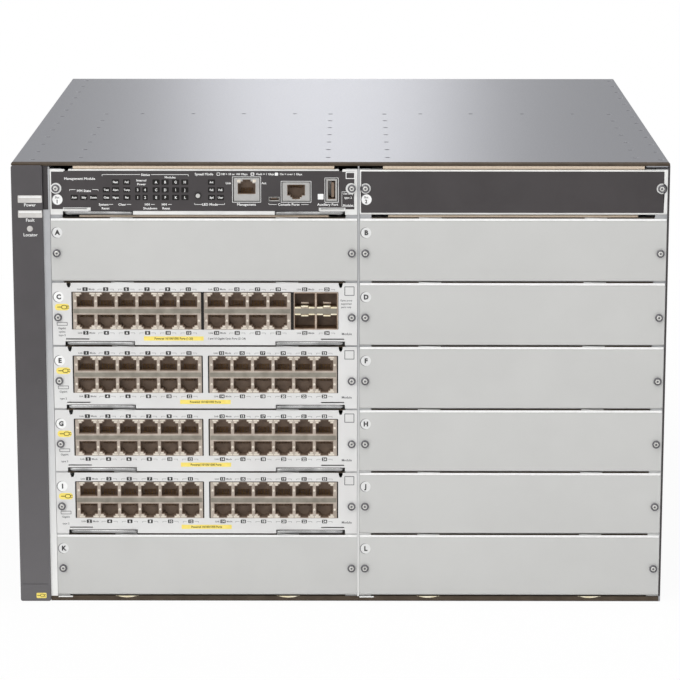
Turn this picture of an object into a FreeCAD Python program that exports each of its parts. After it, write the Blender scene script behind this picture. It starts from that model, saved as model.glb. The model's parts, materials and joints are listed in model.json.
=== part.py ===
import FreeCAD, Part
import math
import os
from FreeCAD import Vector

# Modular rack switch, seven rack units tall: a sheet-steel chassis with two columns of card slots,
# a plastic status bezel on its left edge, slide-in modules, a fan tray and four power supplies.
# Millimetres. X runs to the right seen from the front, Y from the front to the back, Z up.
# Y is counted from the face plane of the modules while building; save() moves every piece so
# that the origin is the middle of the footprint.

# ---- sheet and clearances
sheet = 1.2                   # outer shell, cover, frames and shelves
thin_sheet = 1.0              # module trays, slot covers and bay walls
slide_gap = 0.3               # between a piece that slides and what guides it
face_gap = 0.25               # round each front plate, beside its neighbours

# ---- card bays
slot_width = 208.25           # clear width of one column
slot_pitch = 44.45            # one rack unit
slot_rows = 6
first_shelf = 3.6             # top of the lowest shelf above the ground
mm_bay_height = 35.8          # management bay, from its shelf to the cover
bay_depth = 243.5             # front plane to the midplane frame
plate_above_shelf = 0.6
plate_below_shelf = 0.4
plate_flange = 8.0
mm_lift = 1.4                 # the management plates stand higher, above a gasket
mm_plate_height = 31.1
shelf_setback = 2.0
scoop_width = 15.7            # finger scoops in the shelf edges
scoop_reach = 1.6
scoop_flat = 0.45             # share of a scoop's width that lies flat at its front
scoop_from_edge = 48.1

# ---- outside of the chassis
bezel_width = 21.1
bezel_depth = 10.0
bezel_proud = 1.5
bezel_wall = 2.2
bezel_side = 0.8
bezel_round = 1.2
strip_width = 4.7             # bright flange of the left bay wall, beside the bezel
strip_above_shelf = 5.4
chassis_depth = 450.8
hem_height = 2.4
top_flange = 16.0
chassis_width = bezel_width + strip_width + 2 * slot_width + thin_sheet + sheet
shelf_top = [first_shelf + row * slot_pitch for row in range(slot_rows + 1)]
cover_under = shelf_top[slot_rows] + mm_bay_height
chassis_height = cover_under + sheet
half_width = chassis_width / 2
inner_half = half_width - sheet

# ---- hold-down rails under the cover
rail_inset = 19.6             # from each side of a column
rail_height = 4.0

# ---- side vents and rack-ear holes
vent_width = 7.0
vent_length = 112.0
vent_rows = 2
vent_row_pitch = 134.0
vent_first_height = 18.0
vent_columns = 4
vent_column_pitch = 38.0
vent_first_depth = 82.0
duct_window_height = 22.0     # windows of the left bay wall
duct_window_end = 41.0        # from the last window to the midplane frame
ear_hole_radius = 2.2
ear_hole_depth = 30.0
ear_hole_first_height = 43.0
ear_hole_spacing_height = 220.0

# ---- lenses in the bezel
lens_width = 15.8
power_lens_height = 4.9
power_lens_bottom = 280.8
fault_lens_height = 4.8
fault_lens_bottom = 270.6
locator_radius = 2.0
locator_height = 262.9
locator_from_left = 12.1
locator_dome = 0.3
lens_flange = 1.2
lens_gap = 0.1

# ---- mounting rails and captive screws
rail_width = 8.2
rail_sheet = 1.2
screw_head_radius = 2.75
screw_head_height = 2.0
screw_radius = 1.5
screw_clearance = 0.1
screw_from_edge = 4.1
screw_above_shelf = 20.1
screw_tip = 1.2               # how far a screw comes through its rail
screw_sides = 6

# ---- module trays
tray_floor = 3.2              # underside of the floor above the shelf
tray_end_gap = 9.5            # from the tray's back to the midplane frame
skid_inset = 9.2
skid_front = 14.0
flange_inset = 11.3
notch_width = 1.6
notch_depth = 3.4
slit_length = 16.0
slit_height = 0.8
slit_above_shelf = 4.4
rib_width = 6.0               # pressed ribs that carry the board
rib_inset = 26.0
rib_front = 30.0
rib_back = 12.0
cutout_gap = 0.3

# ---- circuit boards
board_thickness = 1.6
board_top = 11.4              # above the shelf
board_front = 3.0
board_inset = 12.5
plug_width = 150.0
plug_height = 9.0
plug_overlap = 6.0            # of the plug on its board
heat_sink_width = 62.0
heat_sink_depth = 70.0
heat_sink_front = 92.0
heat_sink_base = 3.0
heat_sink_height = 15.0
heat_sink_fins = 4
heat_sink_fin = 2.8
chip_size = 27.0
chip_height = 2.6
chip_front = 48.0
chip_count = 2
chip_pitch = 60.0

# ---- ejector levers
lever_low = 0.9               # underside above the shelf
lever_thickness = 2.0
lever_pivot_x = 13.1          # from the slot's edge
lever_pivot_y = 3.4
lever_eye = 4.0
lever_tip_x = 55.7
lever_tip_width = 2.8
lever_tip_forward = 1.2
lever_tip_round = 0.8
lever_bend_x = 43.0
lever_taper = 1.0
lever_recess_gap = 0.4
pin_radius = 1.5
pin_clearance = 0.08
pin_head_radius = 2.5
pin_head_height = 0.5
pin_sides = 6
button_sides = 12

# ---- network sockets
port_pitch = 14.05
port_width = 12.0
port_height = 10.0
port_shoulder = 2.5           # height of the latch notch above the plug opening
port_notch_width = 6.4
port_depth = 12.5
port_band = 5.2               # metal band between the two rows
jack_height = 26.0
jack_depth = 24.0
jack_recess = 0.5
jack_end_wall = 3.1           # beside the outer ports
jack_edge = 13.65             # slot edge to the outer side of a socket block
sfp_pitch = 15.1
sfp_width = 13.9
sfp_height = 10.0
sfp_wall = 0.6
sfp_depth = 46.0
sfp_opening_depth = 41.0
sfp_edge = 13.425             # slot edge to the side of the cage
sfp_jack_gap = 1.375          # from the cage to the four-column block beside it

# ---- management module ports, places from the slot's centre
socket_rim = 1.2              # shield above or below a single socket's latch notch
network_port_x = 29.0
network_jack_width = 17.6
network_jack_height = 15.9
console_port_x = 62.4
console_jack_width = 18.7
console_jack_height = 12.9
usb_x = 86.4
usb_width = 7.6
usb_height = 15.2
usb_depth = 18.0
usb_wall = 1.3
micro_usb_x = 47.6
micro_usb_width = 7.6
micro_usb_height = 2.9
micro_usb_depth = 6.0
micro_usb_wall = 0.5
mode_button_x = -3.85
mode_button_above_shelf = 15.2
mode_button_radius = 2.0
mode_button_proud = 1.2
mode_button_travel = 0.9
mode_button_rim = 0.9
mode_switch_size = 6.0

# ---- gaskets in front of the management bays
gasket_inset = 15.9           # upper strips, from each side of a column
gasket_height = 1.9
gasket_depth = 3.0
low_gasket_inset = 19.5
low_gasket_height = 1.5

# ---- midplane
window_width = 156.0
window_height = 14.0
midplane_board_thickness = 2.4
midplane_board_margin = 8.0
socket_reach = 4.0            # of a card's socket in front of the frame
socket_gap = 0.3
rear_socket_reach = 6.0       # of the sockets behind the board
psu_socket_width = 75.0
psu_socket_height = 18.0

# ---- back bays
psu_height = 58.0
psu_post = 4.0                # between the two columns of supplies
psu_floor = 4.0
psu_handle_width = 74.0
psu_handle_reach = 22.0
psu_handle_bar = 6.0
psu_handle_height = 14.0
psu_handle_offset = 54.5
inlet_width = 27.0
inlet_height = 20.0
inlet_depth = 16.0
inlet_chamfer = 4.5
inlet_offset = -70.0
psu_vent_count = 3
psu_vent_pitch = 18.0
psu_vent_width = 11.0
psu_vent_height = 36.0
psu_vent_depth = 5.0
psu_vent_offset = -44.0
fan_size = 120.0
fan_depth = 38.0
fan_count = 3
fan_rim = 2.5                 # thinnest wall of a fan's housing
fan_lip = 2.0                 # how far the tray's plate covers a fan's edge
fan_tip_gap = 1.2
fan_hub_radius = 24.0
fan_root_depth = 2.4          # how far a blade starts inside the hub
fan_motor_plate = 3.0
fan_strut = 5.0
fan_blades = 5
fan_blade_angle = 40.0
fan_blade_chord = 34.0
fan_blade_bow = 5.0
fan_blade_thickness = 2.0
fan_blade_steps = 2
hub_sides = 10
bore_sides = 16
tray_wall_depth = 42.0
tray_handle_width = 88.0
tray_handle_reach = 20.0
tray_handle_bar = 6.0
tray_handle_height = 10.0
fan_tray_margin = 3.2         # from the tray to the cover
fan_plug_width = 60.0
fan_plug_height = 12.0
fan_plug_length = 14.0
frame_border = 14.0

# ---- places that follow from the sizes
left_edge = -half_width + bezel_width + strip_width
column_pitch = slot_width + thin_sheet
cage_top = psu_floor + 2 * psu_height + 2 * sheet
psu_width = inner_half - frame_border - psu_post / 2
psu_front = bay_depth + sheet + midplane_board_thickness + rear_socket_reach + socket_gap
back_face = chassis_depth - sheet
rail_front = thin_sheet + slide_gap
tray_depth = bay_depth - tray_end_gap
plug_tip = bay_depth - socket_reach - socket_gap
card_rows = {card: row for row, card in enumerate("igec", 1)}    # above the lowest row, which is covered
front_reach = max(bezel_proud, screw_head_height, lever_tip_forward + lever_eye - lever_pivot_y)
back_reach = max(psu_handle_reach, tray_handle_reach)
middle_depth = (chassis_depth + back_reach - front_reach) / 2


def box(x0, x1, y0, y1, z0, z1):
    """A block between two corners."""
    return Part.makeBox(x1 - x0, y1 - y0, z1 - z0, Vector(x0, y0, z0))


def face_of(points):
    """A flat face with straight edges through the points."""
    wire = Part.makePolygon(points + points[:1])
    return Part.Face(wire)


def prism_x(outline, x0, x1):
    """An outline of (y, z) points, carried along X: the usual form of a folded sheet."""
    return face_of([Vector(x0, y, z) for y, z in outline]).extrude(Vector(x1 - x0, 0, 0))


def prism_y(outline, y0, y1):
    """An outline of (x, z) points, carried along Y."""
    return face_of([Vector(x, y0, z) for x, z in outline]).extrude(Vector(0, y1 - y0, 0))


def prism_z(outline, z0, z1):
    """An outline of (x, y) points, carried along Z."""
    return face_of([Vector(x, y, z0) for x, y in outline]).extrude(Vector(0, 0, z1 - z0))


def regular(radius, sides):
    """Corner points of a regular outline whose flats lie on the radius."""
    reach = radius / math.cos(math.pi / sides)
    turns = [2 * math.pi * (i + 0.5) / sides for i in range(sides)]
    return [(reach * math.cos(a), reach * math.sin(a)) for a in turns]


def small_rod_y(x, z, radius, y0, y1, sides=screw_sides):
    """A short rod along Y with few sides, for the many small fasteners."""
    outline = [(x + u, z + v) for u, v in regular(radius, sides)]
    return prism_y(outline, y0, y1)


def small_rod_z(x, y, radius, z0, z1):
    """A short rod along Z with few sides, for the rivets."""
    outline = [(x + u, y + v) for u, v in regular(radius, pin_sides)]
    return prism_z(outline, z0, z1)


def arc_points(x, y, radius, start, end, steps):
    """Points on an arc about (x, y), with both ends; angles in degrees."""
    angles = [math.radians(start + (end - start) * i / steps) for i in range(steps + 1)]
    return [(x + radius * math.cos(a), y + radius * math.sin(a)) for a in angles]


def rod_x(y, z, radius, x0, x1):
    """A round rod along X."""
    return Part.makeCylinder(radius, x1 - x0, Vector(x0, y, z), Vector(1, 0, 0))


def fused(shapes):
    """One solid from pieces that share faces or volume."""
    first, *rest = shapes
    return first.multiFuse(rest).removeSplitter() if rest else first


def save(name, *solids):
    """Move the solids to the footprint's middle and write them as one node."""
    group = Part.makeCompound(list(solids)) if len(solids) > 1 else solids[0].copy()
    group.translate(Vector(0, -middle_depth, 0))
    group.exportStep(os.path.join("parts", name + ".step"))


# ---- places of the slots

def edge_of(column):
    """X of the left side of a column of slots."""
    return left_edge + column * column_pitch


def centre_of(column):
    """X of the middle of a column of slots."""
    return edge_of(column) + slot_width / 2


def sides_of(column):
    """The two sides of a column, each with the direction that points into the slot."""
    return ((edge_of(column), 1), (edge_of(column) + slot_width, -1))


def lift_of(row):
    """How much higher the plate, floor and levers of a row stand above its shelf."""
    return mm_lift if row == slot_rows else 0


def plate_low(row):
    """Bottom of the front plate of a row."""
    return shelf_top[row] + plate_above_shelf + lift_of(row)


def plate_high(row):
    """Top of the front plate of a row."""
    if row == slot_rows:
        return plate_low(row) + mm_plate_height
    return shelf_top[row] + slot_pitch - sheet - plate_below_shelf


def floor_low(row):
    """Underside of a module's floor."""
    return shelf_top[row] + tray_floor + lift_of(row)


def bulkhead(y):
    """Upright sheet across the chassis; between the shell's flanges it reaches up to the cover."""
    sill = cover_under - sheet
    reach = half_width - top_flange
    sheet_body = box(-inner_half, inner_half, y, y + sheet, sheet, sill)
    return fused([sheet_body, box(-reach, reach, y, y + sheet, sill, cover_under)])


# ---- chassis

def outer_shell():
    """Floor and both sides in one folded sheet, with flanges for the cover to lie on."""
    w, t, top = half_width, sheet, cover_under
    flange = half_width - top_flange
    outline = [
        (-w, 0), (w, 0), (w, top), (flange, top), (flange, top - t), (w - t, top - t),
        (w - t, t), (-w + t, t), (-w + t, top - t), (-flange, top - t), (-flange, top), (-w, top),
    ]
    shell = prism_y(outline, 0, chassis_depth)
    bezel_room = box(-w - 1, -w + bezel_width, -1, bezel_depth, -1, top + 1)
    return fused([shell, front_lip()]).cut([bezel_room, cover_hem()] + side_vents() + ear_holes())


def front_lip():
    """Upturned edge of the floor below the lowest plates."""
    return box(-half_width + bezel_width, half_width, 0, sheet, sheet, first_shelf - sheet)


def cover_hem():
    """Downturned front edge of the cover."""
    return box(-half_width + bezel_width, inner_half, 0, thin_sheet, cover_under - hem_height, cover_under)


def side_vents():
    """Rows of upright slots through both sides, where the modules draw their air."""
    vents = []
    for row in range(vent_rows):
        z = vent_first_height + row * vent_row_pitch
        for column in range(vent_columns):
            y = vent_first_depth + column * vent_column_pitch
            for x in (-half_width, half_width):
                vents.append(box(x - 2 * sheet, x + 2 * sheet, y, y + vent_width, z, z + vent_length))
    return vents


def ear_holes():
    """Two tapped holes in each side, for the rack ears."""
    return [rod_x(ear_hole_depth, ear_hole_first_height + i * ear_hole_spacing_height, ear_hole_radius,
                  x - 2 * sheet, x + 2 * sheet)
            for x in (-half_width, half_width) for i in (0, 1)]


def top_cover():
    """Flat cover with a hemmed front edge and four hold-down rails spot-welded below."""
    plate = box(-half_width, half_width, 0, chassis_depth, cover_under, chassis_height)
    rails = [hold_down_rail(edge + inward * rail_inset)
             for column in (0, 1) for edge, inward in sides_of(column)]
    return fused([plate, cover_hem()] + rails)


def hold_down_rail(x):
    """Rail under the cover that steadies the management tray from above."""
    half = thin_sheet / 2
    return box(x - half, x + half, plate_flange + slide_gap, bay_depth - slide_gap,
               cover_under - rail_height, cover_under)


def front_bezel():
    """Moulded cap over the front of the left duct, hollow behind, with three lens openings."""
    left, right = -half_width, -half_width + bezel_width
    body = box(left, right, -bezel_proud, bezel_depth, 0, cover_under)
    front_edges = [e for e in body.Edges if is_front_edge(e, left)]
    body = body.makeFillet(bezel_round, front_edges)
    inside = box(left + bezel_wall, right - bezel_side, bezel_wall - bezel_proud, bezel_depth + 1,
                 bezel_wall, cover_under - bezel_wall)
    openings = [lens_block(z, h, lens_gap, -bezel_proud - 1, bezel_wall) for z, h in lens_rows()]
    openings.append(small_rod_y(left + locator_from_left, locator_height, locator_radius + lens_gap,
                                -bezel_proud - 1, bezel_wall, button_sides))
    return body.cut([inside] + openings)


def is_front_edge(edge, left):
    """True for the edges round the bezel's face, apart from the one beside the bright strip."""
    y_flat = all(abs(v.Y + bezel_proud) < 0.01 for v in edge.Vertexes)
    beside_strip = all(abs(v.X - left - bezel_width) < 0.01 for v in edge.Vertexes)
    return y_flat and not beside_strip


def lens_rows():
    """Bottom and height of the two bar lenses."""
    return ((power_lens_bottom, power_lens_height), (fault_lens_bottom, fault_lens_height))


def lens_block(z, height, gap, y0, y1):
    """A bar as wide as a lens, grown by a gap on each side."""
    right = -half_width + bezel_width - bezel_side - lens_gap
    return box(right - lens_width - gap, right + gap, y0, y1, z - gap, z + height + gap)


def status_lenses():
    """Two bar lenses and the round locator lens, each with a flange behind the bezel's wall."""
    seat = bezel_wall - bezel_proud
    lenses = []
    for z, height in lens_rows():
        bar = lens_block(z, height, 0, -bezel_proud, seat + lens_flange)
        flange = lens_block(z - lens_flange, height + 2 * lens_flange, 0, seat, seat + lens_flange)
        lenses.append(fused([bar, flange]))
    x = -half_width + locator_from_left
    front, back = -bezel_proud - locator_dome, seat + lens_flange
    stem = small_rod_y(x, locator_height, locator_radius, front, back, button_sides)
    flange = small_rod_y(x, locator_height, locator_radius + lens_flange, seat, back, button_sides)
    lenses.append(fused([stem, flange]))
    return lenses


def left_bay_wall():
    """Left side of the bays, folded to show a bright strip beside the bezel, with air windows."""
    x, t = left_edge, thin_sheet
    outline = [(x - strip_width, 0), (x, 0), (x, bay_depth),
               (x - t, bay_depth), (x - t, t), (x - strip_width, t)]
    wall = prism_z(outline, sheet, cover_under - sheet)
    recess = box(x - strip_width - 1, x - t, -1, 2 * t,
                 shelf_top[slot_rows] + strip_above_shelf, chassis_height)
    windows = []
    for row in range(slot_rows):
        z = shelf_top[row] + board_top
        windows.append(box(x - 2 * t, x + 1, vent_first_depth, bay_depth - duct_window_end,
                           z, z + duct_window_height))
    return wall.cut([recess, cover_hem(), front_lip()] + windows)


def centre_wall():
    """Flat sheet between the two columns."""
    x = left_edge + slot_width
    return box(x, x + thin_sheet, 0, bay_depth, sheet, cover_under).cut([cover_hem(), front_lip()])


def mounting_rails():
    """Four upright bars behind the ends of the front plates, with a tapped hole for each screw."""
    rails = []
    y0, y1 = rail_front, rail_front + rail_sheet
    for column in (0, 1):
        for edge, inward in sides_of(column):
            x0, x1 = sorted((edge, edge + inward * rail_width))
            bar = box(x0, x1, y0, y1, first_shelf, cover_under - hem_height)
            holes = [small_rod_y(edge + inward * screw_from_edge, shelf_top[row] + screw_above_shelf,
                                 screw_radius + screw_clearance, y0 - 1, y1 + 1)
                     for row in range(slot_rows + 1)]
            rails.append(bar.cut(holes))
    return rails


def slot_shelf(column, row):
    """One shelf, notched round the mounting rails, with two finger scoops in its front edge."""
    x0, x1 = edge_of(column), edge_of(column) + slot_width
    top = shelf_top[row]
    z0 = top - sheet
    notch = rail_front + rail_sheet + slide_gap
    if row == 0:
        return box(x0, x1, notch, bay_depth, z0, top)
    side = rail_width + face_gap
    outline = [(x0, notch), (x0 + side, notch), (x0 + side, shelf_setback), (x1 - side, shelf_setback),
               (x1 - side, notch), (x1, notch), (x1, bay_depth), (x0, bay_depth)]
    tongues = [scoop_tongue(x, shelf_setback, z0, top) for x in (x0 + scoop_from_edge, x1 - scoop_from_edge)]
    return fused([prism_z(outline, z0, top)] + tongues)


def scoop_tongue(x, front, z0, z1):
    """Tongue of a shelf's edge, rounded off at its ends, that gives a fingertip room under a lever."""
    half, flat, tip = scoop_width / 2, scoop_width * scoop_flat / 2, front - scoop_reach
    outline = [(x - half, front), (x - flat, tip), (x + flat, tip), (x + half, front),
               (x + half, front + 1), (x - half, front + 1)]
    return prism_z(outline, z0, z1)


def slot_shelves():
    """Seven shelves in each column."""
    return [slot_shelf(column, row) for row in range(slot_rows + 1) for column in (0, 1)]


def connector_height(row):
    """Middle height of the plug and socket of a row."""
    return shelf_top[row] + board_top + plug_height / 2


def midplane_frame():
    """Upright sheet across the chassis, with a window for each socket."""
    windows = []
    for row in range(slot_rows + 1):
        z = connector_height(row)
        for column in (0, 1):
            x = centre_of(column)
            windows.append(box(x - window_width / 2, x + window_width / 2,
                               bay_depth - 1, bay_depth + 2 * sheet,
                               z - window_height / 2, z + window_height / 2))
    return bulkhead(bay_depth).cut(windows)


def midplane_board():
    """Passive board behind the frame, with a socket through each window."""
    y0 = bay_depth + sheet
    side = inner_half - midplane_board_margin
    solids = [box(-side, side, y0, y0 + midplane_board_thickness,
                  sheet + midplane_board_margin / 2, cover_under - midplane_board_margin)]
    half = plug_width / 2
    for row in range(slot_rows + 1):
        z = connector_height(row)
        for column in (0, 1):
            x = centre_of(column)
            solids.append(box(x - half, x + half, bay_depth - socket_reach, y0,
                              z - plug_height / 2, z + plug_height / 2))
    wide, tall = psu_socket_width / 2, psu_socket_height / 2
    for x, z in psu_places():
        solids.append(box(x - wide, x + wide, y0 + midplane_board_thickness, psu_front - socket_gap,
                          z - tall, z + tall))
    z = cage_top + sheet + slide_gap
    solids.append(box(-fan_plug_width / 2, fan_plug_width / 2, y0 + midplane_board_thickness,
                      psu_front - socket_gap, z, z + fan_plug_height))
    return fused(solids)


def plate_profile(row):
    """Folded section (y, z) of a front plate: the face and a flange at its top and bottom."""
    t, reach = thin_sheet, plate_flange
    low, high = plate_low(row), plate_high(row)
    return [(0, low), (reach, low), (reach, low + t), (t, low + t), (t, high - t),
            (reach, high - t), (reach, high), (0, high)]


def screw_places(column, row):
    """X and Z of the two screws of a front plate."""
    z = shelf_top[row] + screw_above_shelf
    return [(edge + inward * screw_from_edge, z) for edge, inward in sides_of(column)]


def plate_holes(column, row):
    """Clearance holes of the two screws through a front plate."""
    return [small_rod_y(x, z, screw_radius + screw_clearance, -1, 2 * thin_sheet)
            for x, z in screw_places(column, row)]


def screw(x, z):
    """Captive screw: pan head in front of the plate, shank through plate and rail."""
    tip = rail_front + rail_sheet + screw_tip
    head = small_rod_y(x, z, screw_head_radius, -screw_head_height, 0)
    return fused([head, small_rod_y(x, z, screw_radius, 0, tip)])


def slot_cover(column, row):
    """Blank plate over an empty slot; its flanges end short of the mounting rails."""
    x0, x1 = edge_of(column) + face_gap, edge_of(column) + slot_width - face_gap
    plate = prism_x(plate_profile(row), x0, x1)
    reach = plate_flange + 1
    z0, z1 = shelf_top[row], shelf_top[row] + slot_pitch
    side = rail_width + face_gap
    rooms = [box(x0 - 1, x0 + side, thin_sheet, reach, z0, z1),
             box(x1 - side, x1 + 1, thin_sheet, reach, z0, z1)]
    return plate.cut(rooms + plate_holes(column, row))


def covered_slots():
    """Column and row of each empty slot of full height."""
    filled = [(0, row) for row in card_rows.values()]
    places = [(column, row) for row in range(slot_rows) for column in (0, 1)]
    return [place for place in places if place not in filled]


def shield_gaskets():
    """Cloth-covered strips that close the gaps above and below the plates of the management bays."""
    shelf = shelf_top[slot_rows]
    strips = []
    for column in (0, 1):
        left, right = edge_of(column), edge_of(column) + slot_width
        strips.append(box(left + gasket_inset, right - gasket_inset, thin_sheet, thin_sheet + gasket_depth,
                          cover_under - gasket_height, cover_under))
        strips.append(box(left + low_gasket_inset, right - low_gasket_inset, shelf_setback,
                          shelf_setback + gasket_depth, shelf, shelf + low_gasket_height))
    return strips


# ---- modules

def lever_recess(column, row, side):
    """Room for a closed lever in the lower edge of a face plate."""
    edge, inward = sides_of(column)[side]
    x0, x1 = sorted((edge + inward * (lever_pivot_x - lever_eye - lever_recess_gap),
                     edge + inward * (lever_tip_x + lever_recess_gap)))
    return box(x0, x1, -1, thin_sheet, shelf_top[row], floor_low(row))


def plate_slit(column, row, side):
    """Narrow slot above a lever's eye."""
    edge, inward = sides_of(column)[side]
    start = lever_pivot_x - lever_eye
    x0, x1 = sorted((edge + inward * start, edge + inward * (start + slit_length)))
    z = shelf_top[row] + lift_of(row) + slit_above_shelf
    return box(x0, x1, -1, 2 * thin_sheet, z, z + slit_height)


def corner_notch(column, row, side):
    """Relief notch where the upper flange ends."""
    edge, inward = sides_of(column)[side]
    x0, x1 = sorted((edge + inward * flange_inset, edge + inward * (flange_inset - notch_width)))
    z = plate_high(row)
    return box(x0, x1, -1, 2 * thin_sheet, z - notch_depth, z + 1)


def module_tray(column, row, openings):
    """Face plate, upper flange and tray floor in one folded sheet, with ribs and rivets."""
    t = thin_sheet
    x0, x1 = edge_of(column) + face_gap, edge_of(column) + slot_width - face_gap
    low, high = plate_low(row), plate_high(row)
    flange_left, flange_right = edge_of(column) + flange_inset, edge_of(column) + slot_width - flange_inset
    skid_left, skid_right = edge_of(column) + skid_inset, edge_of(column) + slot_width - skid_inset
    floor_z, skid_low = floor_low(row), shelf_top[row] + slide_gap
    solids = [
        box(x0, x1, 0, t, low, high),
        box(flange_left, flange_right, 0, plate_flange, high - t, high),
        box(skid_left, skid_right, 0, tray_depth, floor_z, floor_z + t),
        box(skid_left, skid_left + t, skid_front, tray_depth, skid_low, floor_z),
        box(skid_right - t, skid_right, skid_front, tray_depth, skid_low, floor_z),
    ]
    cuts = list(openings) + plate_holes(column, row)
    for side in (0, 1):
        cuts += [lever_recess(column, row, side), plate_slit(column, row, side),
                 corner_notch(column, row, side)]
    added = [rivet(column, row, side) for side in (0, 1)] + board_ribs(column, row)
    return fused([fused(solids).cut(cuts)] + added)


def rivet(column, row, side):
    """Headed pivot pin hanging from the tray's floor; its corners lie on the pin's radius."""
    edge, inward = sides_of(column)[side]
    x, y = edge + inward * lever_pivot_x, lever_pivot_y
    head_top = shelf_top[row] + lift_of(row) + lever_low - pin_clearance
    shaft = small_rod_z(x, y, pin_radius * math.cos(math.pi / pin_sides), head_top, floor_low(row))
    return fused([shaft, small_rod_z(x, y, pin_head_radius, head_top - pin_head_height, head_top)])


def board_ribs(column, row):
    """Two ribs pressed up from the tray's floor, on which the board lies."""
    base = floor_low(row) + thin_sheet
    top = shelf_top[row] + board_top - board_thickness
    ribs = []
    for edge, inward in sides_of(column):
        x0, x1 = sorted((edge + inward * rib_inset, edge + inward * (rib_inset + rib_width)))
        ribs.append(box(x0, x1, rib_front, tray_depth - rib_back, base, top))
    return ribs


def lever(column, row, side):
    """Flat ejector lever: a round eye on the rivet and an arm that narrows to a forward tip."""
    edge, inward = sides_of(column)[side]
    z0 = shelf_top[row] + lift_of(row) + lever_low
    front, back = lever_pivot_y - lever_eye, lever_pivot_y + lever_eye
    tip_front = front - lever_tip_forward
    arm = [(lever_pivot_x, front), (lever_bend_x, front), (lever_tip_x - lever_tip_round, tip_front),
           (lever_tip_x, tip_front + lever_tip_round), (lever_tip_x, tip_front + lever_tip_width),
           (lever_bend_x, front + lever_tip_width + lever_taper), (lever_pivot_x, back)]
    corners = [Vector(edge + inward * x, y, z0) for x, y in arm]
    far_side = Vector(edge + inward * (lever_pivot_x - lever_eye), lever_pivot_y, z0)
    eye = Part.Arc(corners[-1], far_side, corners[0]).toShape()
    outline = Part.Face(Part.Wire([eye] + Part.makePolygon(corners).Edges))
    blade = outline.extrude(Vector(0, 0, lever_thickness))
    hole = small_rod_z(edge + inward * lever_pivot_x, lever_pivot_y, pin_radius + pin_clearance,
                       z0 - 1, z0 + 2 * lever_thickness)
    return blade.cut(hole)


def module_board(column, row):
    """Circuit board with its rear plug, a finned heat sink and a row of chips."""
    x = centre_of(column)
    top = shelf_top[row] + board_top
    half = slot_width / 2 - board_inset
    solids = [
        box(x - half, x + half, board_front, tray_depth, top - board_thickness, top),
        box(x - plug_width / 2, x + plug_width / 2,
            tray_depth - plug_overlap, plug_tip, top, top + plug_height),
        heat_sink(x, top),
    ]
    for i in range(chip_count):
        cx = x + (i - (chip_count - 1) / 2) * chip_pitch
        solids.append(box(cx - chip_size / 2, cx + chip_size / 2, chip_front, chip_front + chip_size,
                          top, top + chip_height))
    return fused(solids)


def heat_sink(x, top):
    """Comb-shaped extrusion, fins running front to back."""
    half, base = heat_sink_width / 2, heat_sink_base
    gap = (heat_sink_width - heat_sink_fins * heat_sink_fin) / (heat_sink_fins - 1)
    outline = [(x - half, top), (x + half, top)]
    for i in range(heat_sink_fins):
        right = x + half - i * (heat_sink_fin + gap)
        left = right - heat_sink_fin
        if i:
            outline.append((right, top + base))
        outline += [(right, top + heat_sink_height), (left, top + heat_sink_height)]
        if i < heat_sink_fins - 1:
            outline.append((left, top + base))
    return prism_y(outline, heat_sink_front, heat_sink_front + heat_sink_depth)


def port_opening(x, z, notch_up, y0, width=port_width, height=port_height, depth=port_depth):
    """Opening of a network socket, with its latch notch at the top or at the bottom."""
    flip = 1 if notch_up else -1
    half, notch = width / 2, port_notch_width / 2
    body = height - port_shoulder
    outline = [(x - half, z), (x + half, z), (x + half, z + flip * body), (x + notch, z + flip * height),
               (x - notch, z + flip * height), (x - half, z + flip * body)]
    return prism_y(outline, y0 - 1, y0 + depth)


def jack_block(x, z, columns):
    """Ganged socket block, two rows high, notches at the outer edges."""
    half = jack_block_width(columns) / 2
    block = box(x - half, x + half, jack_recess, jack_recess + jack_depth, z, z + jack_height)
    middle = z + jack_height / 2
    ports = []
    for i in range(columns):
        px = x + (i - (columns - 1) / 2) * port_pitch
        ports.append(port_opening(px, middle + port_band / 2, True, jack_recess))
        ports.append(port_opening(px, middle - port_band / 2, False, jack_recess))
    return block.cut(ports)


def jack_block_width(columns):
    """Outside width of a socket block."""
    return (columns - 1) * port_pitch + port_width + 2 * jack_end_wall


def sfp_cage(x, z):
    """Two by two cage for plug-in optics, open at the front."""
    half = sfp_cage_width() / 2
    cage = box(x - half, x + half, jack_recess, jack_recess + sfp_depth, z, z + jack_height)
    ports = []
    for px in (x - sfp_pitch / 2, x + sfp_pitch / 2):
        for pz in (z + sfp_wall, z + jack_height - sfp_wall - sfp_height):
            ports.append(box(px - sfp_width / 2, px + sfp_width / 2, -1, jack_recess + sfp_opening_depth,
                             pz, pz + sfp_height))
    return cage.cut(ports)


def sfp_cage_width():
    """Outside width of the cage."""
    return sfp_pitch + sfp_width + 2 * sfp_wall


def port_groups(card, column):
    """Middle and width of each group of sockets on a card's face."""
    wide, narrow, cage = jack_block_width(6), jack_block_width(4), sfp_cage_width()
    left = edge_of(column) + jack_edge
    right = edge_of(column) + slot_width
    if card != "c":
        return [(left + wide / 2, wide), (right - jack_edge - wide / 2, wide)]
    cage_left = right - sfp_edge - cage
    narrow_middle = cage_left - sfp_jack_gap - narrow / 2
    return [(left + wide / 2, wide), (narrow_middle, narrow), (cage_left + cage / 2, cage)]


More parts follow.
